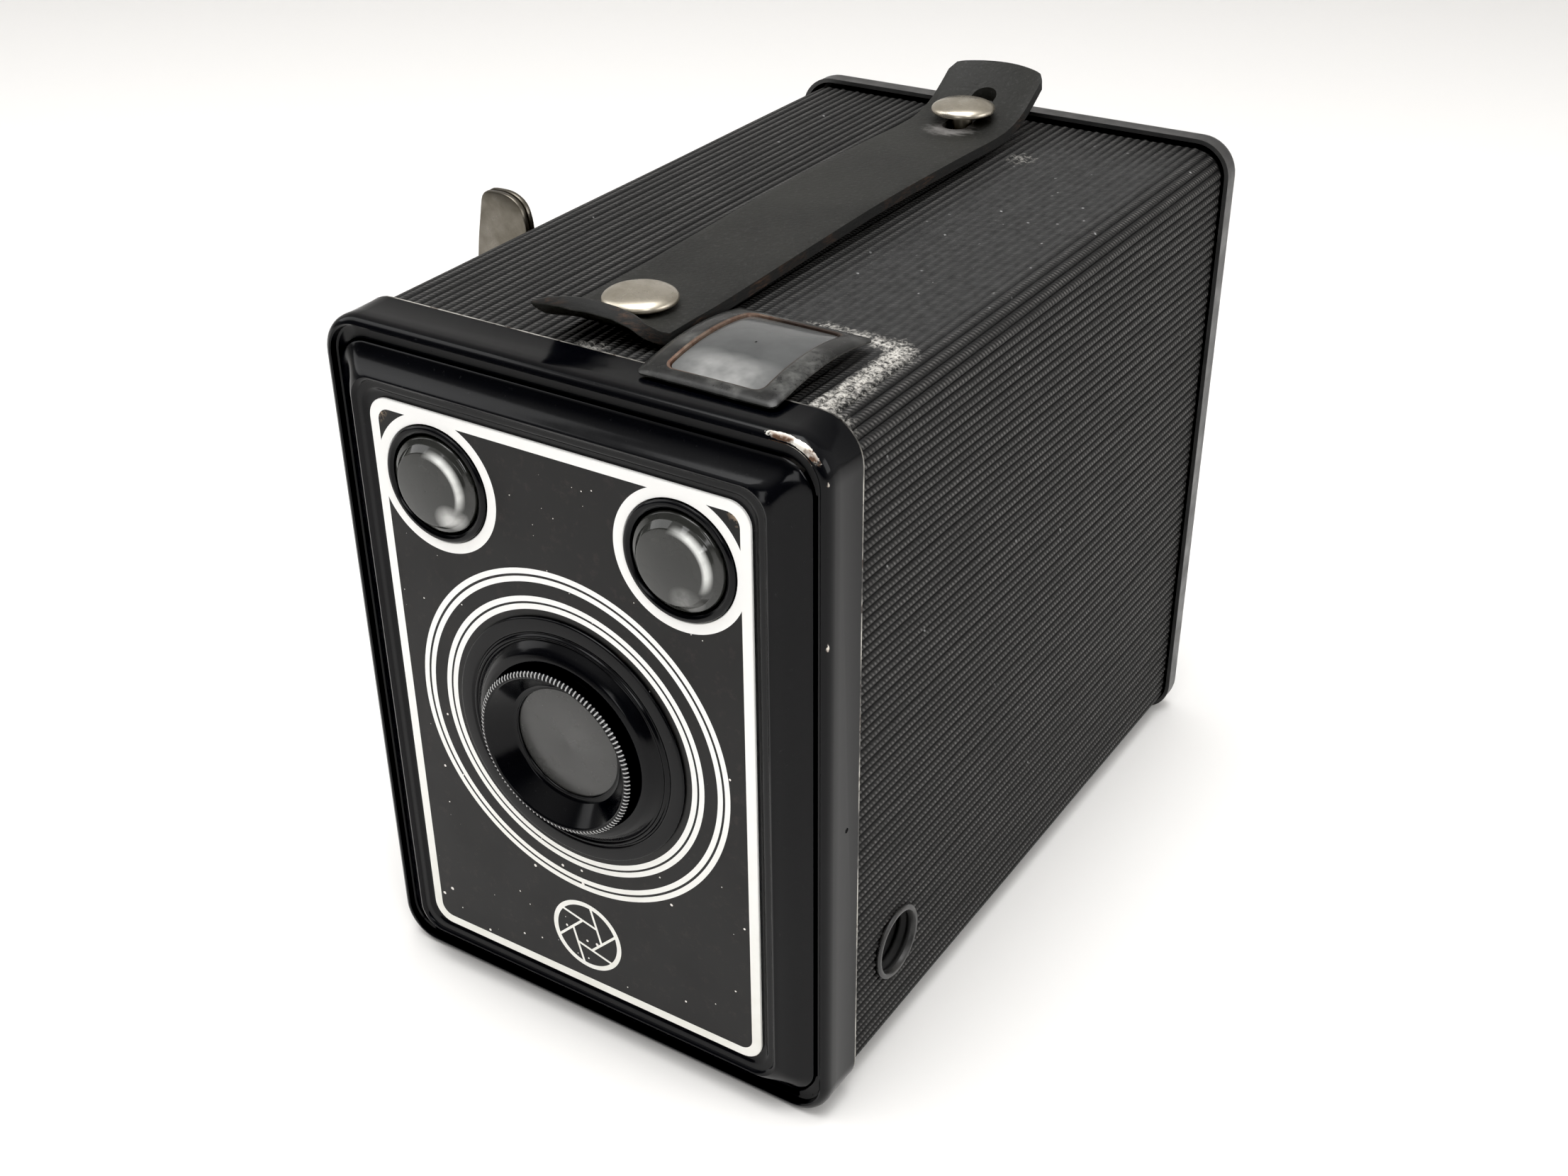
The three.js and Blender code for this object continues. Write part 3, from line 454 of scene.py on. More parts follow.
def litho_black():
    """The printed plate's charcoal lacquer, with chips down to the pale metal."""
    f = Finish("plate_lacquer", Specular_IOR_Level=0.22)
    colour = f.mix(f.noise(45, 4), (0.0042, 0.0041, 0.0041, 1), (0.0085, 0.0081, 0.0081, 1))
    colour = f.mix(f.range(f.noise(500, 5, 0.8), 0.55, 0.7) * 0.30, colour, (0.045, 0.032, 0.029, 1))
    corner = f.near((31.5, -2.2, 100.3), 4.5).most(f.near((-31.5, -2.2, 100.3), 4.5))
    flake = f.range(corner, 0.0, 0.3) * f.range(f.noise(1300, 4, 0.7), 0.50, 0.56)
    colour = f.mix(flake, colour, (0.30, 0.22, 0.15, 1))
    x, _, z = f.axes()
    distance, tint = f.cells(560, f.out("ShaderNodeCombineXYZ", x, z), "2D")
    pick = f.out("ShaderNodeSeparateColor", tint)
    size = f.range(pick, 0.90, 1.0, 0.0, 0.24) * f.range(z, 0.012, 0.085, 1.0, 0.45)
    flaked = f.near((7, -2.2, 95), 4.0).most(f.near((33, -2.2, 98.5), 3.5), f.near((-3, -2.2, 18), 7))
    size = size.most(flaked * f.range(pick, 0.50, 1.0, 0.0, 0.30))
    chip = f.math("GREATER_THAN", size, distance + f.noise(3000, 3) * 0.10)
    f.put(Base_Color=f.mix(chip, colour, grey(0.80, 0.05)),
          Roughness=f.range(f.noise(90, 3), 0.3, 0.7, 0.32, 0.46),
          Normal=f.bump(chip, 0.5, -0.05, f.bump(f.noise(800, 4), 0.05, 0.04)))
    return f.material


def litho_cream():
    """The plate's printed lines, yellowed a little towards the bottom."""
    f = Finish("plate_cream", Roughness=0.36)
    patch = f.range(f.axes()[2], 0.010, 0.060, 1.0, 0.0) * f.range(f.noise(200, 4), 0.3, 0.7, 0.5, 1.0)
    colour = f.mix(patch, (0.97, 0.965, 0.945, 1), (0.80, 0.79, 0.72, 1))
    nick = f.range(f.noise(1500, 4, 0.8), 0.72, 0.76)
    f.put(Base_Color=f.mix(nick * 0.8, colour, (0.10, 0.09, 0.08, 1)),
          Normal=f.bump(f.noise(900, 4), 0.05, 0.04))
    return f.material


def ribbed_cloth():
    """Leatherette: black ribs whose crests are finely beaded and rubbed grey, with painted highlights along
    the beads and painted shade in the grooves.
    """
    f = Finish("ribbed_leatherette", IOR=1.45, Specular_IOR_Level=0.35)
    across, along, _ = f.axes(f.out("ShaderNodeUVMap", uv_map="Ribs"))
    phase = f.math("FRACT", across + 0.5)
    crest = 1.0 - f.math("ABSOLUTE", phase * 2.0 - 1.0)
    slant = along * 1.9 + across * 1.35
    bead = f.range(f.math("SINE", (slant + f.noise(300, 3) * 0.5) * TAU), -1.0, 1.0)
    uneven = f.noise(1500, 5, 0.75)
    rib_place = f.out("ShaderNodeCombineXYZ", f.math("FLOOR", across + 0.5), along * 0.06)
    rows = f.noise(1.7, 2, 0.5, place=rib_place)

    # rubbed smooth on the top's right half
    x, y, z = f.axes()
    rub = f.range(z, 0.1068, 0.1086) * (f.range(x, 0.0095, 0.0150) * f.range(x, 0.0385, 0.0340))
    rub = rub * (f.range(y, 0.012, 0.030) * f.range(y, 0.119, 0.106))

    # a worn band that hugs the window frame's right and rear sides, and four scuffs
    gap_x = (x - FINDER_X * MM - 0.0103).most(0.0)
    gap_y = (y - (16.2 + RIM_Y) * MM - 0.0118).most(0.0)
    gap = f.math("SQRT", gap_x * gap_x + gap_y * gap_y) + (f.noise(160, 4, 0.7) - 0.5) * 0.003
    band = f.range(gap, 0.0004, 0.0020) * f.range(gap, 0.0068, 0.0036) * f.range(x, 0.0150, 0.0200)
    scratch = band * f.range(gap_x, 0.0, 0.0020, 0.80, 1.0)
    for point, reach, power in (((-2, 9.6, 109.2), 5.5, 0.75), ((36.8, 9.2, 107.9), 3.6, 0.8),
                                ((12.5, 106, 109), 5, 0.6), ((-9.5, 105, 109.2), 3.5, 0.6)):
        scratch = (f.near(point, reach) * power).most(scratch)
    strokes = f.noise(1, 6, 0.85, stretch=(320, 1900, 600)) * f.range(uneven, 0.34, 0.62)
    pale = f.range(scratch * strokes, 0.11, 0.44)

    # pale crests: partly rubbed wear, partly a painted highlight on the beads; the near-black grooves are
    # painted shade
    light = crest ** 2.2 * f.range(bead, 0.15, 0.85, 0.05, 1.0) * f.range(uneven, 0.30, 0.70, 0.45, 1.25)
    light = light * f.range(rows, 0.35, 0.65, 0.6, 1.1)
    colour = f.mix(f.math("MINIMUM", light, 1.0), grey(0.0022), grey(0.115, 0.04))
    smooth = f.mix(f.range(f.noise(700, 5), 0.3, 0.7), grey(0.013), grey(0.040))
    colour = f.mix(rub * 0.75, colour, smooth)
    speck = f.range(f.cells(330)[0], 0.05, 0.09, 1.0, 0.0)
    pick = f.range(f.noise(120, 2), 0.60, 0.66).most(rub * f.range(uneven, 0.40, 0.55))
    colour = f.mix(speck * pick * 0.5, colour, grey(0.5))
    colour = f.mix(pale, colour, (0.55, 0.53, 0.49, 1))
    rise = bead * crest ** 0.6 * f.range(rub, 0.0, 1.0, 1.0, 0.25)
    f.put(Base_Color=colour, Roughness=f.range(light, 0.0, 1.0, 0.66, 0.46),
          Normal=f.bump(rise, 0.9, 0.16, f.bump(uneven, 0.35, 0.08)))
    return f.material


def black_leather():
    """The strap's top: matt black leather, fine grain, rubbed greenish grey."""
    f = Finish("strap_leather", IOR=1.42, Specular_IOR_Level=0.35)
    patch = f.noise(55, 5, 0.6)
    grain = f.noise(1700, 5, 0.7)
    colour = f.mix(f.range(patch, 0.3, 0.7), (0.0070, 0.0070, 0.0062, 1), (0.0185, 0.0185, 0.0160, 1))
    colour = f.mix(f.range(grain, 0.55, 0.8) * 0.45, colour, grey(0.10, 0.03))
    worn = f.near((0, 19, 112.5), 7.5).most(f.near((0, 104.5, 112.5), 8.5))
    scar = f.range(worn * f.noise(1, 6, 0.8, stretch=(420, 1300, 400)), 0.24, 0.42)
    colour = f.mix(scar * 0.6, colour, grey(0.24, 0.04))
    f.put(Base_Color=colour, Roughness=f.range(patch, 0.3, 0.7, 0.50, 0.62),
          Normal=f.bump(grain, 0.55, 0.12, f.bump(f.cells(1500)[0], 0.35, 0.10)))
    return f.material


def raw_edge():
    """The strap's cut edges: brown fibres under worn black dressing."""
    f = Finish("strap_raw_edge", Roughness=0.78)
    fibre = f.noise(1, 5, 0.7, stretch=(900, 500, 2600))
    colour = f.mix(f.range(fibre, 0.45, 0.72), (0.003, 0.0025, 0.002, 1), (0.060, 0.030, 0.016, 1))
    f.put(Base_Color=f.mix(f.range(f.noise(120, 3), 0.48, 0.62), (0.004, 0.004, 0.0035, 1), colour),
          Normal=f.bump(fibre, 0.7, 0.15))
    return f.material


def nickel(name, tone=(0.66, 0.61, 0.52, 1), rough=0.22):
    """Nickel plate with faint tarnish, pits and fine scratches."""
    f = Finish(name, Metallic=1.0)
    cloud = f.noise(230, 5, 0.65)
    colour = f.mix(f.range(cloud, 0.35, 0.7), tone, (tone[0] * 0.62, tone[1] * 0.60, tone[2] * 0.55, 1))
    pit = f.range(f.noise(1900, 4, 0.8), 0.68, 0.74)
    lines = f.noise(1, 4, 0.7, stretch=(2500, 250, 700))
    f.put(Base_Color=f.mix(pit * 0.7, colour, (0.08, 0.06, 0.04, 1)),
          Roughness=f.range(cloud, 0.3, 0.75, rough, rough + 0.18),
          Normal=f.bump(lines, 0.10, 0.03, f.bump(pit, 0.4, -0.05)))
    return f.material


def metal(name, tone, rough=0.4, streaks=0.25):
    """Bare or plated sheet metal with brushed streaks and stains."""
    f = Finish(name, Metallic=0.95)
    streak = f.noise(1, 4, 0.7, stretch=(180, 1900, 180))
    dark = tuple(c * 0.45 for c in tone[:3]) + (1,)
    f.put(Base_Color=f.mix(f.range(f.noise(120, 5, 0.65), 0.42, 0.75), tone, dark),
          Roughness=f.range(streak, 0.3, 0.7, rough - 0.1, rough + 0.15),
          Normal=f.bump(streak, streaks, 0.03))
    return f.material


def worn_window_black():
    """The window frame's blackened brass, rubbed grey on its crown."""
    f = Finish("window_black", Metallic=0.30)
    rub = f.noise(420, 6, 0.75)
    colour = f.mix(f.range(rub, 0.36, 0.66), grey(0.016), (0.115, 0.116, 0.110, 1))
    blotch = f.range(f.noise(90, 3, 0.5), 0.44, 0.52) * f.range(rub, 0.36, 0.46)
    f.put(Base_Color=f.mix(blotch * 0.85, colour, grey(0.005)), Roughness=f.range(rub, 0.3, 0.7, 0.22, 0.40),
          Normal=f.bump(rub, 0.22, 0.06))
    return f.material


def bare_brown_edge():
    """The worn inner edge of a window frame, down to reddish metal."""
    f = Finish("window_brown_edge", Metallic=0.6, Roughness=0.42)
    cloud = f.noise(600, 5, 0.7)
    colour = f.mix(f.range(cloud, 0.35, 0.7), (0.11, 0.052, 0.034, 1), (0.22, 0.17, 0.13, 1))
    right = f.range(f.axes()[0], (FINDER_X - 5) * MM, (FINDER_X - 2) * MM, 0.0, 0.75)
    f.put(Base_Color=f.mix(right, colour, grey(0.012)), Normal=f.bump(cloud, 0.3, 0.06))
    return f.material


def hazy_glass(name, tone, haze=0.5, rough=0.08, cloud_scale=150, painted_reflections=(), gloss=0.5, domes=()):
    """Old glass with a film of dust over its transparency, and pale painted reflections at the given (place,
    reach) spots.
    """
    f = Finish(name, IOR=1.52, Specular_IOR_Level=gloss, Transmission_Weight=1 - haze)
    cloud = f.noise(cloud_scale, 4, 0.6)
    dark = tuple(c * 0.62 for c in tone[:3]) + (1,)
    colour = f.mix(f.range(cloud, 0.3, 0.7), dark, tone)
    # painted reflections: pale patches painted at these spots
    for place, reach, strength in painted_reflections:
        painted_reflection = f.range(f.near(place, reach), 0.0, 0.7) * f.range(cloud, 0.2, 0.6, 0.5, strength)
        colour = f.mix(painted_reflection, colour, (0.72, 0.72, 0.70, 1))
    for x, z in domes:
        # a pale crescent along the dome's foot, painted in place of the photo's highlight
        foot = 1.0 - f.near((x, -4.0, z), 10.0)
        arc = f.range(foot, 0.47, 0.52) * f.range(foot, 0.60, 0.55)
        arc = arc * f.range(f.near((x + 4.2, -4.0, z + 2.6), 5.6), 0.05, 0.5)
        colour = f.mix(arc * f.range(cloud, 0.25, 0.6, 0.6, 1.0), colour, (0.90, 0.91, 0.88, 1))
    f.put(Base_Color=colour, Roughness=f.range(f.noise(700, 4), 0.35, 0.75, rough, rough + 0.08),
          Normal=f.bump(f.noise(300, 3), 0.015, 0.05))
    return f.material


def turned_wood():
    """A spool's beech core."""
    f = Finish("spool_wood", Roughness=0.6)
    ring = f.noise(1, 5, 0.6, stretch=(60, 900, 900))
    f.put(Base_Color=f.mix(f.range(ring, 0.3, 0.7), (0.33, 0.20, 0.10, 1), (0.50, 0.34, 0.19, 1)),
          Normal=f.bump(ring, 0.3, 0.08))
    return f.material


def shell_steel():
    """The case's sheet: bare where its front edge shows, black inside."""
    f = Finish("shell_sheet")
    bare = f.range(f.axes()[1] - RIM_Y * MM, 0.0090, 0.0087)
    cloud = f.noise(400, 5, 0.7)
    black, bright = f.mix(cloud, grey(0.008), grey(0.022)), f.mix(cloud, grey(0.30), grey(0.62, 0.02))
    f.put(Base_Color=f.mix(bare, black, bright), Metallic=bare * 0.6,
          Roughness=f.range(cloud, 0.3, 0.7, 0.45, 0.7), Normal=f.bump(cloud, 0.15, 0.05))
    return f.material


ENAMEL = enamel()
LACQUER = litho_black()
CREAM = litho_cream()
CLOTH = ribbed_cloth()
LEATHER = black_leather()
RAW_EDGE = raw_edge()
NICKEL = nickel("nickel_plate")
KEY_NICKEL = nickel("key_nickel", (0.19, 0.175, 0.15, 1), 0.24)
SATIN = satin_black("back_satin_black", 0.022, 0.40, 0.12)
INNER_BLACK = satin_black("inner_black", 0.012, 0.7, 0.05)
BUSH_BLACK = satin_black("bush_black", 0.012, 0.30, 0.30)
KNURL_WORN = satin_black("worn_knurl", 0.42, 0.34, 0.3)
WINDOW_BLACK = worn_window_black()
BROWN_EDGE = bare_brown_edge()
SHELL_SHEET = shell_steel()
STEEL = metal("bare_steel", (0.34, 0.34, 0.35, 1), 0.42)
BRASS = metal("turned_brass", (0.60, 0.43, 0.18, 1), 0.34)
SILVERED = metal("mirror_silver", (0.72, 0.74, 0.75, 1), 0.12, 0.02)
WOOD = turned_wood()
FRONT_GLASS = hazy_glass("front_glass_grey", (0.046, 0.046, 0.044, 1), 0.92, 0.22, 40)
# the pale spots listed on the finder lenses are painted reflections
FINDER_GLASS = hazy_glass("finder_glass", (0.034, 0.035, 0.032, 1), 0.85, 0.06, 260,
                          [((-FINDER_X + 3.4, -3.8, FINDER_Z - 3.8), 2.6, 0.95),
                           ((FINDER_X + 2.0, -3.6, FINDER_Z - 4.4), 2.6, 0.16)], 0.42,
                          [(-FINDER_X, FINDER_Z), (FINDER_X, FINDER_Z)])
# the pale spots along the panes' front edge are painted reflections
PANE_GLASS = hazy_glass("pane_glass", (0.105, 0.108, 0.108, 1), 0.85, 0.10, 110,
                        [((FINDER_X + dx, 8.2, 111.2), 4.8, 0.10) for dx in (-3.5, 0.5, 4.5)], 0.22)
CLEAR_GLASS = hazy_glass("lens_glass", (0.55, 0.58, 0.60, 1), 0.2, 0.04, 90)
RED_GLASS = hazy_glass("red_celluloid", (0.42, 0.018, 0.012, 1), 0.6, 0.10, 90)


# ---------------------------------------------------------------- front cover
def frame_ring(half_x, half_z, radius, depth, middle=MIDDLE_Z):
    return [(x, depth, z) for x, z in rounded_rect(half_x, half_z, radius, 0, middle, corner=10)]


def lever_slots(shell):
    """Slots in the left flange for the release lever, the stop slide and the time tab."""
    for front, rear, low, high in ((3.0, 4.6, 30.8, 40.6), (7.0, 8.2, 51.3, 58.3), (7.0, 8.2, 67.0, 73.0)):
        shell.box((-46, front, low), (-34, rear, high))
    return shell


def window_cuts(shell):
    """The openings under both finder windows, in the top and in the left side."""
    shell.box((FINDER_X - PANE_HALF, PANE_DEPTHS[0], 100), (FINDER_X + PANE_HALF, PANE_DEPTHS[1], 116))
    shell.box((-46, PANE_DEPTHS[0], FINDER_Z - PANE_HALF), (-32, PANE_DEPTHS[1], FINDER_Z + PANE_HALF))
    return shell


def front_cover():
    # From the flange's rear edge over the rim, the groove, the cove and its bead, down to the plate's
    # seat: (half width, half height, corner radius, depth).
    outside = [
        (40.50, 55.00, 6.2, FLANGE_DEPTH), (40.50, 55.00, 6.2, 8.1), (40.46, 54.96, 6.2, 7.9),
        (40.44, 54.94, 6.2, 3.0), (40.50, 55.00, 6.2, 1.7), (40.40, 54.90, 6.1, 1.0),
        (40.15, 54.65, 5.9, 0.45), (39.80, 54.30, 5.6, 0.10), (39.45, 53.95, 5.3, 0.00),
        (39.22, 53.72, 5.1, 0.14), (39.12, 53.60, 5.0, 0.55), (39.05, 53.50, 4.9, 1.05),
        (38.85, 53.20, 4.8, 1.25), (38.30, 52.10, 4.7, 1.25), (38.12, 51.75, 4.7, 1.10),
        (38.02, 51.58, 4.7, 0.80), (37.85, 51.42, 4.4, 0.58), (37.55, 51.20, 3.9, 0.44),
        (36.90, 50.72, 3.2, 0.18), (36.10, 50.12, 2.6, -0.22), (35.40, 49.60, 2.3, -0.70),
        (34.80, 49.15, 2.3, -1.25), (34.30, 48.78, 2.7, -1.85), (34.00, 48.56, 3.3, -2.30),
        (33.80, 48.42, 3.9, -2.55), (33.55, 48.22, 3.8, -2.68), (33.28, 47.98, 3.7, -2.62),
        (33.08, 47.78, 3.6, -2.42), (32.95, 47.65, 3.5, -2.25), (32.60, 47.35, 3.4, -2.18),
        (32.20, 46.95, 3.3, -2.22), (31.95, 46.70, 3.3, -2.12), (31.75, 46.50, 3.3, -1.90),
        (31.40, 46.20, 3.3, -1.80), (30.60, 45.40, 3.2, -1.80),
    ]
    inside = [
        (30.60, 45.40, 3.2, -1.10), (32.60, 47.00, 3.3, -1.20), (33.60, 48.00, 3.6, -1.30),
        (35.00, 49.00, 3.8, 0.10), (37.00, 50.60, 4.2, 1.20), (38.50, 53.00, 4.6, 1.95),
        (39.80, 54.30, 5.5, 2.20), (39.80, 54.30, 5.5, FLANGE_DEPTH),
    ]
    shell = Shell()
    shell.rings([frame_ring(*row) for row in outside])
    shell.rings([frame_ring(*row) for row in inside + outside[:1]])
    holes = [circle(BORE - 0.3, 0, LENS_Z), circle(FINDER_HOLE - 0.7, FINDER_X, FINDER_Z),
             circle(FINDER_HOLE - 0.7, -FINDER_X, FINDER_Z)]
    seat_front, seat_rear = outside[-1], inside[0]
    edge = [(x, z) for x, _, z in frame_ring(*seat_front)]
    shell.cap([edge] + holes, seat_front[3])
    shell.cap([edge] + holes, seat_rear[3])
    for hole in holes:
        shell.walls([(hole, seat_front[3]), (hole, seat_rear[3])])
    cutter = window_cuts(lever_slots(Shell()))
    # a small round dent in the right flange
    cutter.turned(softened([(0, 40.2), (0.35, 40.25), (0.5, 41), (0, 41)], 0.1), (5.1, 50.7), "x", 20)
    solid("front_pressing", shell, "enamel", [ENAMEL], "front_cover", cutter=cutter)


# ---------------------------------------------------------------- face plate
LINE = 1.55          # the border's printed width
BANDS = ((20.56, 21.40), (21.73, 22.56), (24.73, 25.55), (25.92, 26.76))
FINDER_BAND = 10.3
EMBLEM_Z = 19.1
EMBLEM_RING = (5.5, 6.3)


def iris_blades():
    """Six slim bars, each running from a corner of a small hexagon to the ring: a plain iris motif."""
    bars = []
    for i in range(6):
        turn = math.radians(60 * i + 15)
        across, along = Vector((math.cos(turn), math.sin(turn))), Vector((-math.sin(turn), math.cos(turn)))
        start, end, half = -1.36, 5.1, 0.2
        corners = [across * 2.35 + along * a + across * b
                   for a, b in ((start, -half), (end, -half), (end, half), (start, half))]
        bars.append([(c.x, c.y + EMBLEM_Z) for c in corners])
    return bars


def face_plate():
    outline = rounded_rect(PLATE_HALF_WIDTH, PLATE_HALF_HEIGHT, 3.3, 0, PLATE_Z, corner=10)
    border = rounded_rect(PLATE_HALF_WIDTH - LINE, PLATE_HALF_HEIGHT - LINE, 2.0, 0, PLATE_Z, corner=10)
    holes = [circle(BORE, 0, LENS_Z, 96), circle(FINDER_HOLE, FINDER_X, FINDER_Z, 72),
             circle(FINDER_HOLE, -FINDER_X, FINDER_Z, 72)]
    blades = iris_blades()
    prints = [border] + [circle(r, 0, LENS_Z, 160) for band in BANDS for r in band]
    prints += [circle(FINDER_BAND, side * FINDER_X, FINDER_Z, 96) for side in (-1, 1)]
    prints += [circle(r, 0, EMBLEM_Z, 72) for r in EMBLEM_RING] + blades

    def printed(x, z):
        lens = math.hypot(x, z - LENS_Z)
        finder = math.hypot(abs(x) - FINDER_X, z - FINDER_Z)
        emblem = math.hypot(x, z - EMBLEM_Z)
        return (not inside_polygon(x, z, border) or finder < FINDER_BAND
                or any(low < lens < high for low, high in BANDS)
                or EMBLEM_RING[0] < emblem < EMBLEM_RING[1]
                or emblem < EMBLEM_RING[0] and any(inside_polygon(x, z, blade) for blade in blades))

    front, rear = plate_low.y - RIM_Y, plate_high.y - RIM_Y
    soft = 0.08
    shell = Shell()
    loops = [grown(outline, -soft)] + [grown(hole, soft) for hole in holes]
    verts, faces, middles = filled(loops + prints, loops[1:])
    shell.add([(v.x, front, v.y) for v in verts], faces)
    shell.marks = [int(printed(x, z)) for x, z in middles]
    for loop, edge, mark in [(outline, loops[0], 1)] + list(zip(holes, loops[1:], (0, 1, 1))):
        shell.walls(((edge, front), (loop, front + soft), (loop, rear)), mark)
    shell.cap([outline] + holes, rear)
    solid("printed_plate", shell, "litho", [LACQUER, CREAM], "face_plate")


# ---------------------------------------------------------------- lens mount
def lens_mount():
    bezel = softened([
        (19.6, -2.3), (19.45, -2.78), (17.4, -2.82), (17.2, -2.6), (17.0, -2.6), (16.75, -3.0),
        (16.5, -3.0), (16.3, -2.75), (16.1, -2.75), (15.75, -3.15), (15.3, -3.65), (14.7, -4.15),
        (13.95, -4.42), (13.3, -4.42), (12.9, -4.15), (12.1, -4.1), (12.1, -1.2), (15.9, -1.2),
        (15.9, -2.3),
    ], 0.22, 4)
    solid("lens_mount", Shell().turned(bezel, (0, LENS_Z), sides=160), "enamel", [ENAMEL], "lens_bezel")

    teeth, per_tooth, tooth_depth = 118, 6, 0.26
    sides = teeth * per_tooth

    def knurl(angle, radius):
        if radius < 12.3:
            return 0
        return -tooth_depth * (0.5 + 0.5 * math.cos(angle * teeth)) ** 0.8

    ring = softened([
        (13.0, -5.70), (13.0, -6.05), (12.75, -6.38), (12.3, -6.50), (11.95, -6.35), (9.5, -3.45),
        (9.0, -3.22), (8.75, -3.30), (8.6, -3.05), (9.1, -3.05), (9.1, -1.4), (11.9, -1.4),
        (11.9, -4.75), (12.2, -4.8), (12.25, -5.60),
    ], 0.10, 3)
    shell = Shell().turned(ring, (0, LENS_Z), sides=sides, ripple=knurl)
    for i in range(len(shell.faces)):
        # the teeth's crests are worn where they face forwards
        crest = i % per_tooth in (per_tooth // 2 - 1, per_tooth // 2)
        radius, place = ring[i // sides]
        if crest and radius > 12.35 and place < -6.0:
            shell.marks[i] = 1
    solid("knurled_lens_ring", shell, "enamel", [ENAMEL, KNURL_WORN], "knurled_ring")

    glass = softened([(0, -2.98), (8.75, -2.94), (8.9, -2.8), (8.9, -2.1), (0, -2.0)], 0.05, 2)
    solid("lens_window", Shell().turned(glass, (0, LENS_Z)), "clear_glass", [FRONT_GLASS], "front_glass")


# ---------------------------------------------------------------- finder eyes and windows
def finder_eyes():
    ring = softened([
        (8.6, -2.45), (8.35, -2.72), (7.9, -2.78), (7.45, -2.5), (7.25, -2.0), (7.2, -0.9), (6.2, -0.9),
        (6.2, 1.5), (7.8, 1.5), (7.8, -1.85), (8.6, -1.85),
    ], 0.12, 3)
    # a shallow dome on a steep shoulder
    steps = 10
    dome = [(5.4 * i / steps, -4.55 + 0.5 * (i / steps) ** 2) for i in range(steps + 1)]
    foot = [(6.2, -3.0), (6.9, -2.7), (7.1, -2.4), (7.1, -1.1), (7.0, -1.0), (0, -1.0)]
    lens = softened(dome + foot, 0.12, 3)
    for side, x in (("right", FINDER_X), ("left", -FINDER_X)):
        solid(f"finder_bezel_{side}", Shell().turned(ring, (x, FINDER_Z)), "enamel", [ENAMEL],
              f"finder_ring_{side}")
        solid(f"finder_glass_{side}", Shell().turned(lens, (x, FINDER_Z)), "clear_glass", [FINDER_GLASS],
              f"finder_lens_{side}")


FRAME_DEPTHS = (4.3, 28.0)
FRAME_HALF = 10.3


def arch(depth, across):
    """How high a window frame's crown stands over its corners."""
    t = (depth - FRAME_DEPTHS[0]) / (FRAME_DEPTHS[1] - FRAME_DEPTHS[0])
    u = across / FRAME_HALF
    return 1.55 * (1 - (2 * t - 1) ** 2) * (1 - 0.10 * u * u) + 0.35 * (1 - u ** 4) * (1 - (2 * t - 1) ** 4)


def window(face, foot, place):
    """A frame and its pane; `foot` is the skin's height, and place(across, depth, up) gives a point."""
    middle = sum(FRAME_DEPTHS) / 2
    half_depth = (FRAME_DEPTHS[1] - FRAME_DEPTHS[0]) / 2

    def ring(half_x, half_d, radius, lift):
        outline = rounded_rect(half_x, half_d, radius, 0, middle, corner=6, side=14)
        return [place(a, d, foot + lift + arch(d, a)) for a, d in outline]

    outer = [(FRAME_HALF - 0.15, half_depth - 0.15, 0.9, -0.02), (FRAME_HALF, half_depth, 1.0, 0.12),
             (FRAME_HALF, half_depth, 1.0, 0.36), (FRAME_HALF - 0.2, half_depth - 0.2, 0.9, 0.52),
             (FRAME_HALF - 1.2, half_depth - 0.7, 1.0, 0.62), (FRAME_HALF - 2.4, half_depth - 1.3, 1.2, 0.62)]
    inner = [(7.35, 10.1, 1.4, 0.58), (7.05, 9.8, 1.3, 0.42), (6.95, 9.7, 1.3, 0.05), (6.95, 9.7, 1.3, -0.10)]
    shell = Shell()
    shell.rings([ring(*row) for row in outer + inner[:1]])
    shell.rings([ring(*row) for row in inner[:2]], mark=1)
    shell.rings([ring(*row) for row in inner[1:]], mark=1)
    shell.rings([ring(*inner[-1]), ring(*outer[0])])
    solid(f"finder_frame_{face}", shell, "blackened", [WINDOW_BLACK, BROWN_EDGE], f"window_frame_{face}")

    def sheet(scale, lift):
        return ring(6.85 * scale, 9.6 * scale, 1.2 * scale, lift)

    upper = [sheet(s, 0.12 + 0.25 * (1 - s * s)) for s in (0.02, 0.25, 0.5, 0.75, 0.97, 1.0)]
    lower = [sheet(s, -0.55) for s in (1.0, 0.5, 0.02)]
    pane = Shell().rings(upper + lower, wrap=True)
    solid(f"finder_pane_{face}", pane, "clear_glass", [PANE_GLASS], f"window_pane_{face}")


def finder_windows():
    top = span("window_frame_top")[0].z
    side = span("window_frame_side")[1].x
    window("top", top, lambda a, d, up: (FINDER_X + a, d, up))
    window("side", -side, lambda a, d, up: (-up, d, FINDER_Z + a))


# ---------------------------------------------------------------- ribbed skin
RIBS = 252
STEPS_PER_RIB = 8
RIB_RISE = 0.36
SKIN_RADIUS = 4.7


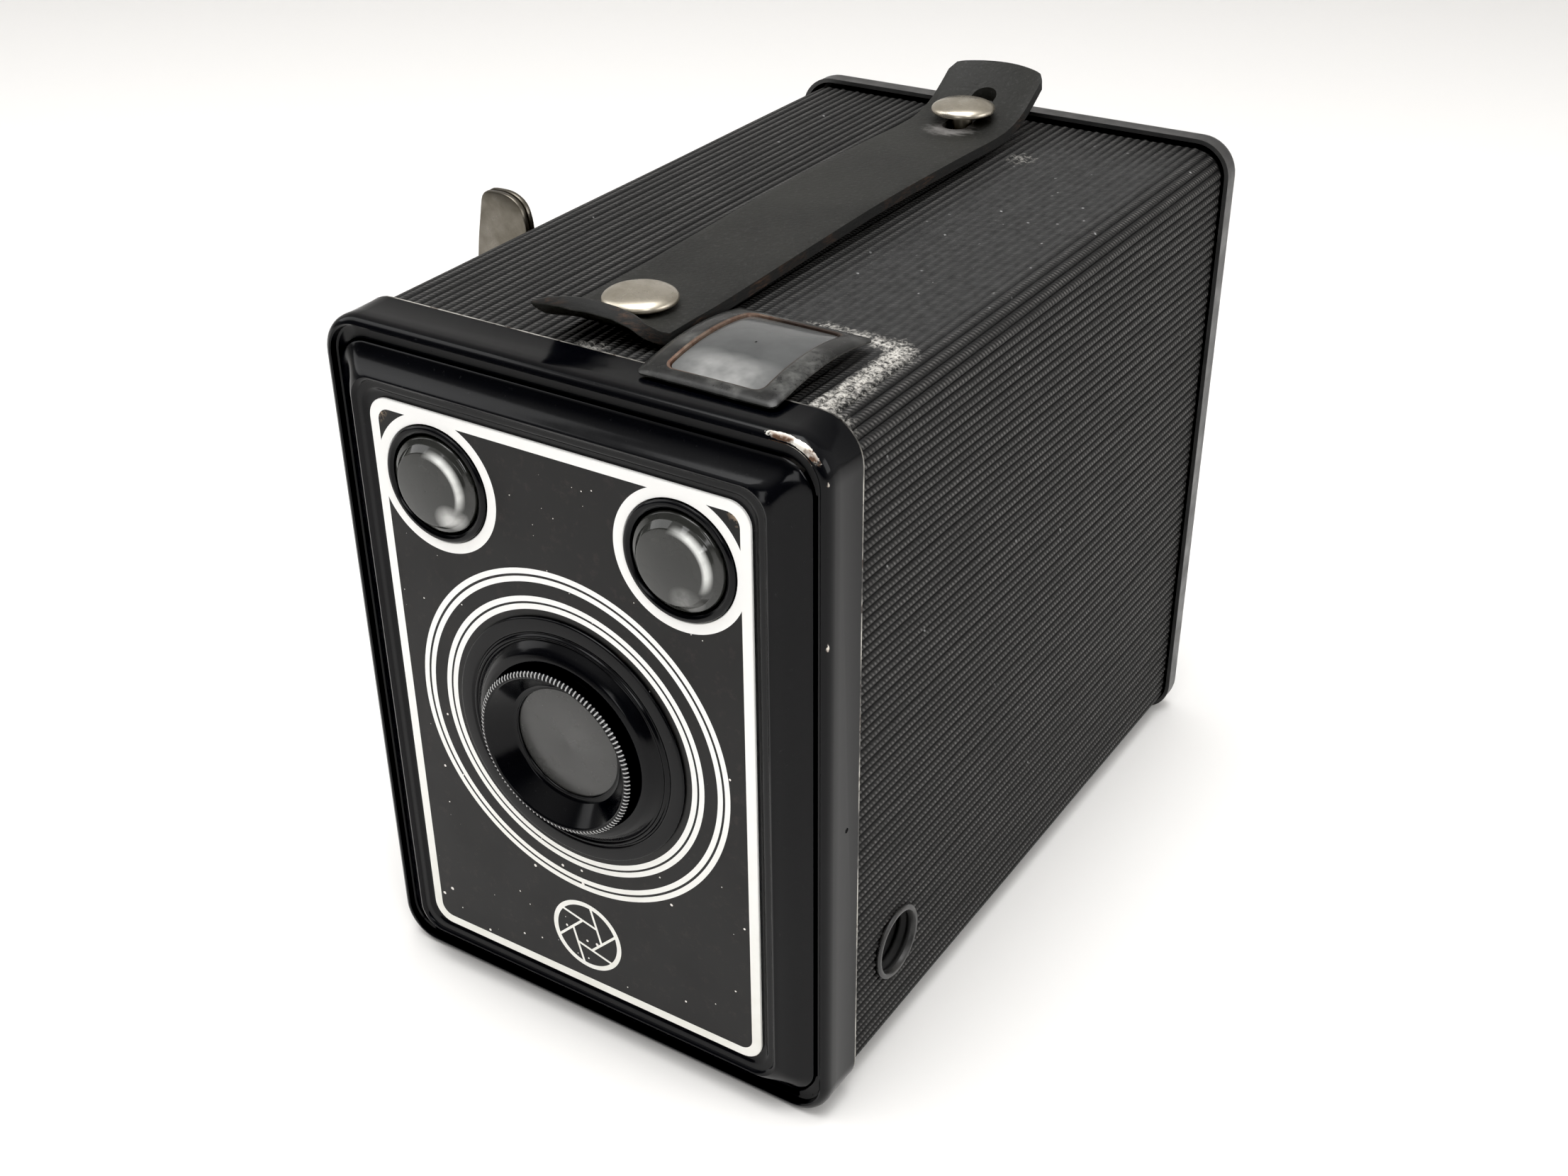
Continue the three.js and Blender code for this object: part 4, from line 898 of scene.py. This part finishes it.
def skin_path(count):
    """Evenly spaced points and outward normals round the case, from the middle of the base."""
    half_x = skin_high.x - RIB_RISE
    half_z = (skin_high.z - skin_low.z) / 2 - RIB_RISE
    middle = (skin_high.z + skin_low.z) / 2
    radius = SKIN_RADIUS
    flat_x, flat_z = half_x - radius, half_z - radius
    arc = math.pi / 2 * radius
    runs = [("line", (0, -half_z), (1, 0), flat_x), ("arc", (flat_x, -flat_z), -90, arc),
            ("line", (half_x, -flat_z), (0, 1), 2 * flat_z), ("arc", (flat_x, flat_z), 0, arc),
            ("line", (flat_x, half_z), (-1, 0), 2 * flat_x), ("arc", (-flat_x, flat_z), 90, arc),
            ("line", (-half_x, flat_z), (0, -1), 2 * flat_z), ("arc", (-flat_x, -flat_z), 180, arc),
            ("line", (-flat_x, -half_z), (1, 0), flat_x)]
    total = sum(run[3] for run in runs)
    for i in range(count):
        left = total * i / count
        for kind, start, turn, length in runs:
            if left <= length:
                break
            left -= length
        if kind == "line":
            (x, z), normal = (start[0] + turn[0] * left, start[1] + turn[1] * left), (turn[1], -turn[0])
        else:
            angle = math.radians(turn) + left / radius
            normal = (math.cos(angle), math.sin(angle))
            x, z = start[0] + radius * normal[0], start[1] + radius * normal[1]
        yield x, z + middle, normal


def leatherette():
    count = RIBS * STEPS_PER_RIB
    front, rear = skin_low.y - RIM_Y, skin_high.y - RIM_Y
    steps = 22
    depths = [front + 0.12 + (rear - front - 0.24) * i / steps for i in range(steps + 1)]
    path = list(skin_path(count))
    noise = random.Random(4)
    rib_height = [0.84 + 0.16 * (i % 2 == 0) + noise.uniform(-0.04, 0.04) for i in range(RIBS)]
    rib_wave = [noise.uniform(0, TAU) for _ in range(RIBS)]

    def rise(i, depth):
        rib = ((i + STEPS_PER_RIB // 2) // STEPS_PER_RIB) % RIBS
        phase = ((i + STEPS_PER_RIB / 2) % STEPS_PER_RIB) / STEPS_PER_RIB - 0.5
        x, z, normal = path[i]
        rubbed = 0.0
        if normal[1] > 0.9 and 9 < x < 36:
            across = min(1, (x - 9) / 5, (36 - x) / 3)
            along = min(1, max(0, (depth - 16) / 14), max(0, (118 - depth) / 8))
            rubbed = 0.55 * across * along
        shape = max(0.0, 1 - abs(2 * phase) ** 2.3) ** 0.75
        return RIB_RISE * rib_height[rib] * (1 - rubbed) * shape + 0.02 * math.sin(depth / 9 + rib_wave[rib])

    def ring(depth, drop, ribs=True):
        points = []
        for i, (x, z, normal) in enumerate(path):
            out = (rise(i, depth) if ribs else 0) - drop
            points.append((x + normal[0] * out, depth, z + normal[1] * out))
        return points

    rings = [ring(front, 0.12)] + [ring(depth, 0) for depth in depths] + [ring(rear, 0.12)]
    places = [front] + depths + [rear]
    inner = span("body_shell")[1].x + 0.05 - (skin_high.x - RIB_RISE)
    rings += [ring(rear, -inner, False), ring(front, -inner, False)]
    places += [rear, front]
    shell = Shell().rings(rings, wrap=True)
    pitch = (rear - front) / 79
    shell.uvs = [(i / STEPS_PER_RIB, place / pitch) for place in places for i in range(count)]
    cutter = window_cuts(Shell())
    for depth in STUD_DEPTHS:
        cutter.turned([(0, 100), (2.1, 100), (2.1, 116), (0, 116)], (0, depth), "z", 24)
    cutter.turned([(0, 30), (5.6, 30), (5.6, 46), (0, 46)], (BUSH_DEPTH, BUSH_Z), "x", 48)
    cutter.turned([(0, -6), (5.6, -6), (5.6, 8), (0, 8)], (0, BUSH_DEPTH), "z", 48)
    cutter.turned([(0, -46), (4.4, -46), (4.4, -32), (0, -32)], (SPOOL_DEPTH, SPOOL_Z), "x", 32)
    cutter.box((-12.6, 121, -3), (12.6, 130, 4))
    solid("ribbed_skin", shell, "leatherette", [CLOTH], "leatherette", cutter=cutter, flat_angle=60)


# ---------------------------------------------------------------- strap and studs
STRAP_HALF = 8.5
STRAP_THICK = 1.9
SPINE = [
    (12.9, 111.25), (15, 111.25), (19, 111.25), (26, 111.2), (45, 111.6), (68, 112),
    (90, 111.7), (104, 111.3), (110, 111.7), (115, 112.9), (119, 114.7), (122, 116.3), (124.4, 117.5),
]
# The strap's front end from left to right: place across, depth, how far it has curled up, and the
# length over which it curls.
CURLED_END = [
    (-1.0, 7.0, 3.9, 11.0), (-0.86, 8.6, 3.7, 9.5), (-0.69, 10.1, 3.35, 7.5),
    (-0.33, 11.7, 2.8, 4.6), (0.06, 12.4, 2.3, 3.4), (0.38, 12.8, 1.5, 2.8),
    (0.6, 12.9, 0.4, 3.0), (0.88, 13.0, 0.0, 3.0), (1.0, 13.6, 0.0, 3.0),
]
REAR_SAG = 2.6         # how far the rear end's corners fall behind its middle


def spline(points, t):
    """A Catmull-Rom curve through the points, t from 0 to 1."""
    last = len(points) - 1
    i = min(int(t * last), last - 1)
    f = t * last - i
    p = [Vector(points[max(0, min(last, i + k))]) for k in (-1, 0, 1, 2)]
    return 0.5 * (2 * p[1] + (p[2] - p[0]) * f + (2 * p[0] - 5 * p[1] + 4 * p[2] - p[3]) * f * f
                  + (3 * p[1] - p[0] - 3 * p[2] + p[3]) * f ** 3)


def between(table, u):
    """The row of a table at u, by straight lines between its rows."""
    for low, high in zip(table, table[1:]):
        if u <= high[0]:
            break
    t = (u - low[0]) / (high[0] - low[0])
    return [a + (b - a) * t for a, b in zip(low, high)]


def strap_middle(u, t):
    """A point on the strap's middle surface, u across from -1 to 1 and t along from 0 to 1."""
    here = spline(SPINE, t)
    _, end, lift, reach = between(CURLED_END, u)
    start = SPINE[0][0]
    depth = here.x + (end - start) * max(0.0, 1 - (here.x - start) / 12) ** 2
    depth -= REAR_SAG * u * u * max(0.0, 1 - (SPINE[-1][0] - here.x) / 16)
    rise = lift * max(0.0, 1 - (depth - end) / reach) ** 2
    from_rear = SPINE[-1][0] - here.x
    width = STRAP_HALF * (1 if from_rear > 2 else 0.90 + 0.10 * from_rear / 2)
    return u * width, depth, here.y + rise


def strap():
    steps, across = 190, 28
    half = STRAP_THICK / 2
    loops = []
    for i in range(steps + 1):
        t = (i / steps) ** 1.25
        upper, lower = [], []
        for j in range(across + 1):
            u = -1 + 2 * j / across
            x, depth, z = strap_middle(u, t)
            _, depth_a, z_a = strap_middle(u, max(0, t - 0.004))
            _, depth_b, z_b = strap_middle(u, min(1, t + 0.004))
            normal = Vector((z_a - z_b, depth_b - depth_a)).normalized()
            edge = 0.16 * max(0.0, abs(u) - 0.90) / 0.10
            end = 0.14 * max(0.0, 1 - min(i, steps - i) / 2)
            end += 0.62 * max(0.0, -0.55 - u) / 0.45 * max(0.0, 1 - i / 22)
            crown = 0.10 * (1 - u * u)
            top, low = half - edge - end + crown, half - edge - end
            upper.append((x, depth + normal.x * top, z + normal.y * top))
            lower.append((x, depth - normal.x * low, z - normal.y * low))
        loops.append(upper + lower[::-1])
    shell = Shell()
    count = len(loops[0])
    shell.rings(loops)
    shell.marks = [1 if i % count in (across, count - 1) else 0 for i in range(len(shell.faces))]
    for row, order in ((0, 1), (steps, -1)):
        start = row * count
        for j in range(across):
            near, far = start + j, start + count - 2 - j
            shell.faces.append((near, near + 1, far, far + 1)[::order])
            shell.marks.append(1)
    cutter = Shell()
    cutter.turned([(0, 108), (2.25, 108), (2.25, 118), (0, 118)], (0, STUD_DEPTHS[0]), "z", 24)
    slot = rounded_rect(2.1, 7.0, 2.05, 0, STUD_DEPTHS[1] + 2.3, corner=8)
    below, above = [(x, d, 106) for x, d in slot], [(x, d, 122) for x, d in slot]
    cutter.rings([below, above])
    cutter.add(below, [range(len(slot))]).add(above, [range(len(slot))])
    solid("leather_strap", shell, "leather", [LEATHER, RAW_EDGE], "strap", cutter=cutter)


def studs():
    for end, depth in zip(("front", "rear"), STUD_DEPTHS):
        node = f"strap_stud_{end}"
        low, high = span(node)
        rim = high.z - 2.2
        steps = 12
        dome = []
        for i in range(steps + 1):
            angle = math.pi / 2 * i / steps
            dome.append((5.2 * math.sin(angle), rim + 0.25 + 1.45 * math.cos(angle) ** 0.9))
        rest = [(5.2, rim + 0.10), (5.05, rim - 0.08), (4.8, rim - 0.14), (1.6, rim - 0.1),
                (1.6, low.z + 0.9), (2.7, low.z + 0.8), (2.4, low.z), (0, low.z)]
        solid(f"domed_stud_{end}", Shell().turned(dome + rest, (0, depth), "z", 72), "nickel", [NICKEL], node)


# ---------------------------------------------------------------- tripod bushes
def tripod_bushes():
    pitch = 1.5875        # a 3/8 inch camera thread has 16 turns to the inch
    profile = [(5.9, 0), (5.9, -0.4), (5.55, -0.62), (5.1, -0.6), (4.95, -0.3)]
    turns = 3
    for i in range(turns):
        start = 0.2 + i * pitch
        profile += [(4.78, start), (4.78, start + 0.3), (5.15, start + 0.8), (5.15, start + 0.95)]
    profile += [(4.78, 5.4), (4.7, 6.0), (0, 6.0), (0, 7.0), (5.3, 7.0), (5.4, 6.8), (5.4, 0)]
    smooth = softened(profile, 0.12, 2)
    sides, bore = 72, range(15, len(smooth) - 9)
    face = span("tripod_bush_side")[1].x - 0.6
    base = span("tripod_bush_base")[0].z + 0.6
    for end, rings, centre, axis in (("side", [(r, face - t) for r, t in smooth], (BUSH_DEPTH, BUSH_Z), "x"),
                                     ("base", [(r, base + t) for r, t in smooth], (0, BUSH_DEPTH), "z")):
        shell = Shell().turned(rings, centre, axis, sides)
        shell.marks = [1 if i // sides in bore else 0 for i in range(len(shell.faces))]
        solid(f"tripod_socket_{end}", shell, "enamel", [BUSH_BLACK, INNER_BLACK], f"tripod_bush_{end}")


# ---------------------------------------------------------------- winding key
def winding_key():
    low, high = span("winding_key")
    inner, outer = -42.4, low.x
    half_z = (high.z - low.z) / 2
    reach = half_z - 0.8
    upper = [(inner, reach - 4.6), (inner - 0.9, reach - 1.5), (inner - 3.6, reach),
             (outer + 2.4, reach - 0.2), (outer + 0.8, reach - 8), (outer, 3)]
    leaf = [(x, SPOOL_Z + z) for x, z in upper] + [(x, SPOOL_Z - z) for x, z in upper[::-1]]
    outline = softened(leaf, 1.7, 4)
    shell = Shell()
    # a folded sheet: two leaves with a thinner core between them, which shows as a groove
    for front, rear in ((-1.1, -0.14), (0.14, 1.1)):
        shell.slab(outline, SPOOL_DEPTH + front, SPOOL_DEPTH + rear, soft=0.28)
    shell.slab(grown(outline, -0.35), SPOOL_DEPTH - 0.2, SPOOL_DEPTH + 0.2, soft=0.05)
    bar = softened([(0, inner - 1.5), (4.0, inner - 1.5), (4.0, -41.1), (2.4, -41.1), (2.4, -32.9),
                    (0, -32.9)], 0.2, 2)
    shell.turned(bar, (SPOOL_DEPTH, SPOOL_Z), "x", 48)
    shell.box((-33.0, SPOOL_DEPTH - 0.8, SPOOL_Z - 3.4), (high.x, SPOOL_DEPTH + 0.8, SPOOL_Z + 3.4))
    solid("folded_key", shell, "nickel", [KEY_NICKEL], "winding_key")

    bush = softened([(6.0, -40.15), (5.7, -40.3), (3.0, -40.3), (2.48, -40.15), (2.48, -39.55), (3.6, -39.5),
                     (3.6, -37.4), (4.0, -37.4), (4.0, -39.55), (6.0, -39.6)], 0.08, 2)
    solid("key_collar", Shell().turned(bush, (SPOOL_DEPTH, SPOOL_Z), "x", 64), "nickel", [NICKEL], "key_bush")


# ---------------------------------------------------------------- back cover
RED_X, RED_Z, RED_RADIUS, RIVET_RISE = 18, 38, 5.5, 14


def back_cover():
    middle = (back_low.z + back_high.z) / 2
    front, rear = back_low.y - RIM_Y, back_high.y - RIM_Y
    half_z = (back_high.z - back_low.z) / 2
    hx = back_high.x
    outside = [
        (0, 6.0, front), (0.0, 6.0, front + 0.25), (0.04, 6.0, front + 0.4), (0.04, 6.0, rear - 1.9),
        (0.15, 5.9, rear - 1.2), (0.5, 5.6, rear - 0.55), (1.0, 5.2, rear - 0.14), (1.6, 4.8, rear),
        (3.2, 4.4, rear), (3.7, 4.2, rear - 0.12), (4.2, 4.0, rear - 0.42), (4.7, 3.8, rear - 0.5),
        (5.6, 3.4, rear - 0.5),
    ]
    inside = [
        (4.7, 3.8, rear - 1.2), (3.4, 4.0, rear - SHEET), (1.6, 4.6, rear - SHEET), (0.9, 5.2, rear - 1.0),
        (SHEET, 5.3, rear - 1.6), (SHEET, 5.3, front),
    ]

    def ring(row):
        inset, radius, depth = row
        return frame_ring(hx - inset, half_z - inset, radius, depth, middle)

    shell = Shell()
    shell.rings([ring(row) for row in outside])
    shell.rings([ring(row) for row in inside + outside[:1]])
    holes = [circle(RED_RADIUS, RED_X, RED_Z, 64), circle(1.15, RED_X, RED_Z + RIVET_RISE, 20),
             rounded_rect(2.4, 3.65, 0.5, 0, 101.25, corner=3)]
    edge = [(x, z) for x, _, z in ring(outside[-1])]
    for depth in (outside[-1][2], inside[0][2]):
        shell.cap([edge] + holes, depth)
    for hole in holes:
        shell.walls([(hole, outside[-1][2]), (hole, inside[0][2])])
    solid("back_pressing", shell, "enamel", [SATIN], "back_cover")


def red_window_parts():
    low, high = span("red_window")
    front, rear = low.y - RIM_Y, high.y - RIM_Y - 0.02
    disc = softened([(0, front), (6.3, front), (6.3, rear), (0, rear)], 0.15, 2)
    solid("red_celluloid_disc", Shell().turned(disc, (RED_X, RED_Z), sides=64), "red_glass", [RED_GLASS],
          "red_window")
    low, high = span("window_cover")
    front, tip = low.y - RIM_Y, high.y - RIM_Y
    shell = Shell()
    reach = (high.x - low.x) / 2
    pivot_z = RED_Z + RIVET_RISE
    outline = []
    for i in range(25):
        angle = math.pi + math.pi * i / 24
        outline.append((RED_X + reach * math.cos(angle), RED_Z + reach * math.sin(angle)))
    for i in range(17):
        angle = math.pi * i / 16
        outline.append((RED_X + 3.0 * math.cos(angle), pivot_z + 3.0 * math.sin(angle)))
    shell.slab(outline, front, front + 0.8, [circle(1.15, RED_X, pivot_z, 24)], soft=0.18)
    knob = softened([(0, front + 0.7), (1.7, front + 0.7), (1.9, front + 1.2), (1.6, tip), (0, tip)], 0.2, 3)
    shell.turned(knob, (RED_X, RED_Z - 3.5), sides=40)
    solid("swinging_shutter_flap", shell, "nickel", [NICKEL], "window_cover")


# ---------------------------------------------------------------- the pieces that keep their CAD shape
KEPT = {
    "body_shell": SHELL_SHEET, "lens_cell": BRASS, "taking_lens": CLEAR_GLASS, "stop_slide": NICKEL,
    "shutter_plate": STEEL, "shutter_disc": INNER_BLACK, "shutter_pivot": BRASS, "release_lever": NICKEL,
    "lever_pivot": BRASS, "lever_spring": STEEL, "time_tab": NICKEL, "finder_housing_right": INNER_BLACK,
    "finder_housing_left": INNER_BLACK, "finder_mirror_right": SILVERED, "finder_mirror_left": SILVERED,
    "film_carrier": INNER_BLACK, "takeup_spool": WOOD, "supply_spool": WOOD, "takeup_pivot": BRASS,
    "supply_pivot_right": BRASS, "supply_pivot_left": BRASS, "roller_top": NICKEL, "roller_bottom": NICKEL,
    "key_washer": STEEL, "hinge_leaf_case": NICKEL, "hinge_leaf_back": NICKEL, "hinge_pin": STEEL,
    "back_latch": NICKEL, "latch_catch": STEEL, "cover_rivet": BRASS,
}


def kept_pieces():
    for name, finish in KEPT.items():
        node = frame["nodes"][name]
        node.data.materials.clear()
        node.data.materials.append(finish)
        bevel = node.modifiers.new("soft_edges", "BEVEL")
        bevel.width, bevel.segments, bevel.limit_method = 0.12 * MM, 2, "ANGLE"
        bevel.angle_limit = math.radians(40)
        node.data.shade_smooth()
        node.data.set_sharp_from_angle(angle=math.radians(40))


# ---------------------------------------------------------------- studio
def studio():
    scene = bpy.context.scene
    sweep = bpy.data.materials.new("seamless_paper")
    sweep.use_nodes = True
    paper = sweep.node_tree.nodes["Principled BSDF"]
    paper.inputs["Base Color"].default_value = (0.90, 0.89, 0.875, 1)
    paper.inputs["Roughness"].default_value = 0.85
    profile = [(-2.2, 0.0)]
    bend, start = 0.7, 0.75
    for i in range(25):
        angle = math.pi / 2 * i / 24
        profile.append((start + bend * math.sin(angle), bend - bend * math.cos(angle)))
    profile.append((start + bend, 3.0))
    turn = Matrix.Rotation(math.radians(32), 3, "Z")
    verts, faces = [], []
    for y, z in profile:
        verts += [turn @ Vector((-3, y, z)), turn @ Vector((3, y, z))]
    for i in range(len(profile) - 1):
        faces.append((2 * i, 2 * i + 1, 2 * i + 3, 2 * i + 2))
    mesh = bpy.data.meshes.new("paper_sweep")
    mesh.from_pydata(verts, [], faces)
    mesh.shade_smooth()
    mesh.materials.append(sweep)
    floor = bpy.data.objects.new("paper_sweep", mesh)
    scene.collection.objects.link(floor)

    world = bpy.data.worlds.new("room")
    world.use_nodes = True
    scene.world = world
    nodes, links = world.node_tree.nodes, world.node_tree.links
    where = nodes.new("ShaderNodeSeparateXYZ")
    links.new(nodes.new("ShaderNodeTexCoord").outputs["Generated"], where.inputs[0])

    def ramp(socket, low, high, to_low, to_high):
        made = nodes.new("ShaderNodeMapRange")
        made.interpolation_type = "SMOOTHSTEP"
        links.new(socket, made.inputs[0])
        for i, value in enumerate((low, high, to_low, to_high)):
            made.inputs[i + 1].default_value = value
        return made.outputs[0]

    # a white room, darker behind whoever holds the camera
    brightest = nodes.new("ShaderNodeMath")
    brightest.operation = "MAXIMUM"
    links.new(ramp(where.outputs[1], -0.60, 0.35, 0.14, 0.62), brightest.inputs[0])
    links.new(ramp(where.outputs[2], 0.35, 0.85, 0.0, 0.75), brightest.inputs[1])
    background = nodes["Background"]
    background.inputs["Color"].default_value = (1.0, 0.985, 0.965, 1)
    links.new(brightest.outputs[0], background.inputs["Strength"])

    def area(name, place, target, size, power, spread=180):
        light = bpy.data.lights.new(name, "AREA")
        light.shape, light.size, light.size_y = "RECTANGLE", size[0], size[1]
        light.energy, light.spread = power, math.radians(spread)
        lamp = bpy.data.objects.new(name, light)
        lamp.location = place
        lamp.rotation_euler = (Vector(target) - Vector(place)).to_track_quat("-Z", "Y").to_euler()
        scene.collection.objects.link(lamp)

    area("top_soft", (0.0, -0.06, 1.05), (0.03, -0.03, 0.0), (0.85, 0.85), 3.4, 95)
    area("left_soft", (-1.0, -0.2, 0.75), (0, 0.0, 0.06), (0.6, 0.9), 3)
    area("window_strip", (0.75, -0.55, 0.80), (0, 0.0, 0.06), (0.16, 0.60), 1.8)
    area("front_window", (0.22, -1.15, 0.38), (0, 0.0, 0.08), (0.22, 0.50), 1.1)
    area("right_fill", (0.9, 0.25, 0.40), (0.05, 0.06, 0.0), (0.5, 0.4), 1.6)
    scene.view_settings.view_transform = "Standard"
    scene.view_settings.use_curve_mapping = True
    scene.view_settings.curve_mapping.black_level = (0.003, 0.003, 0.003)
    scene.view_settings.curve_mapping.white_level = (0.96, 0.96, 0.96)
    scene.view_settings.curve_mapping.update()


def camera():
    scene = bpy.context.scene
    lens = bpy.data.cameras.new("camera")
    lens.sensor_width, lens.lens = 36, 44.4
    lens.shift_x, lens.shift_y = 0.028, 0.0344
    lens.clip_start, lens.clip_end = 0.01, 20
    eye = bpy.data.objects.new("camera", lens)
    right, forward = Vector((0.83393, 0.55147, -0.02083)), Vector((-0.47555, 0.69894, -0.53417))
    up = right.cross(forward)
    axes = Matrix((right, up, -forward)).transposed()
    eye.matrix_world = Matrix.Translation((0.14448, -0.17703, 0.21047)) @ axes.to_4x4()
    scene.collection.objects.link(eye)
    scene.camera = eye


camera()
studio()
front_cover()
face_plate()
lens_mount()
finder_eyes()
finder_windows()
leatherette()
strap()
studs()
tripod_bushes()
winding_key()
back_cover()
red_window_parts()
kept_pieces()
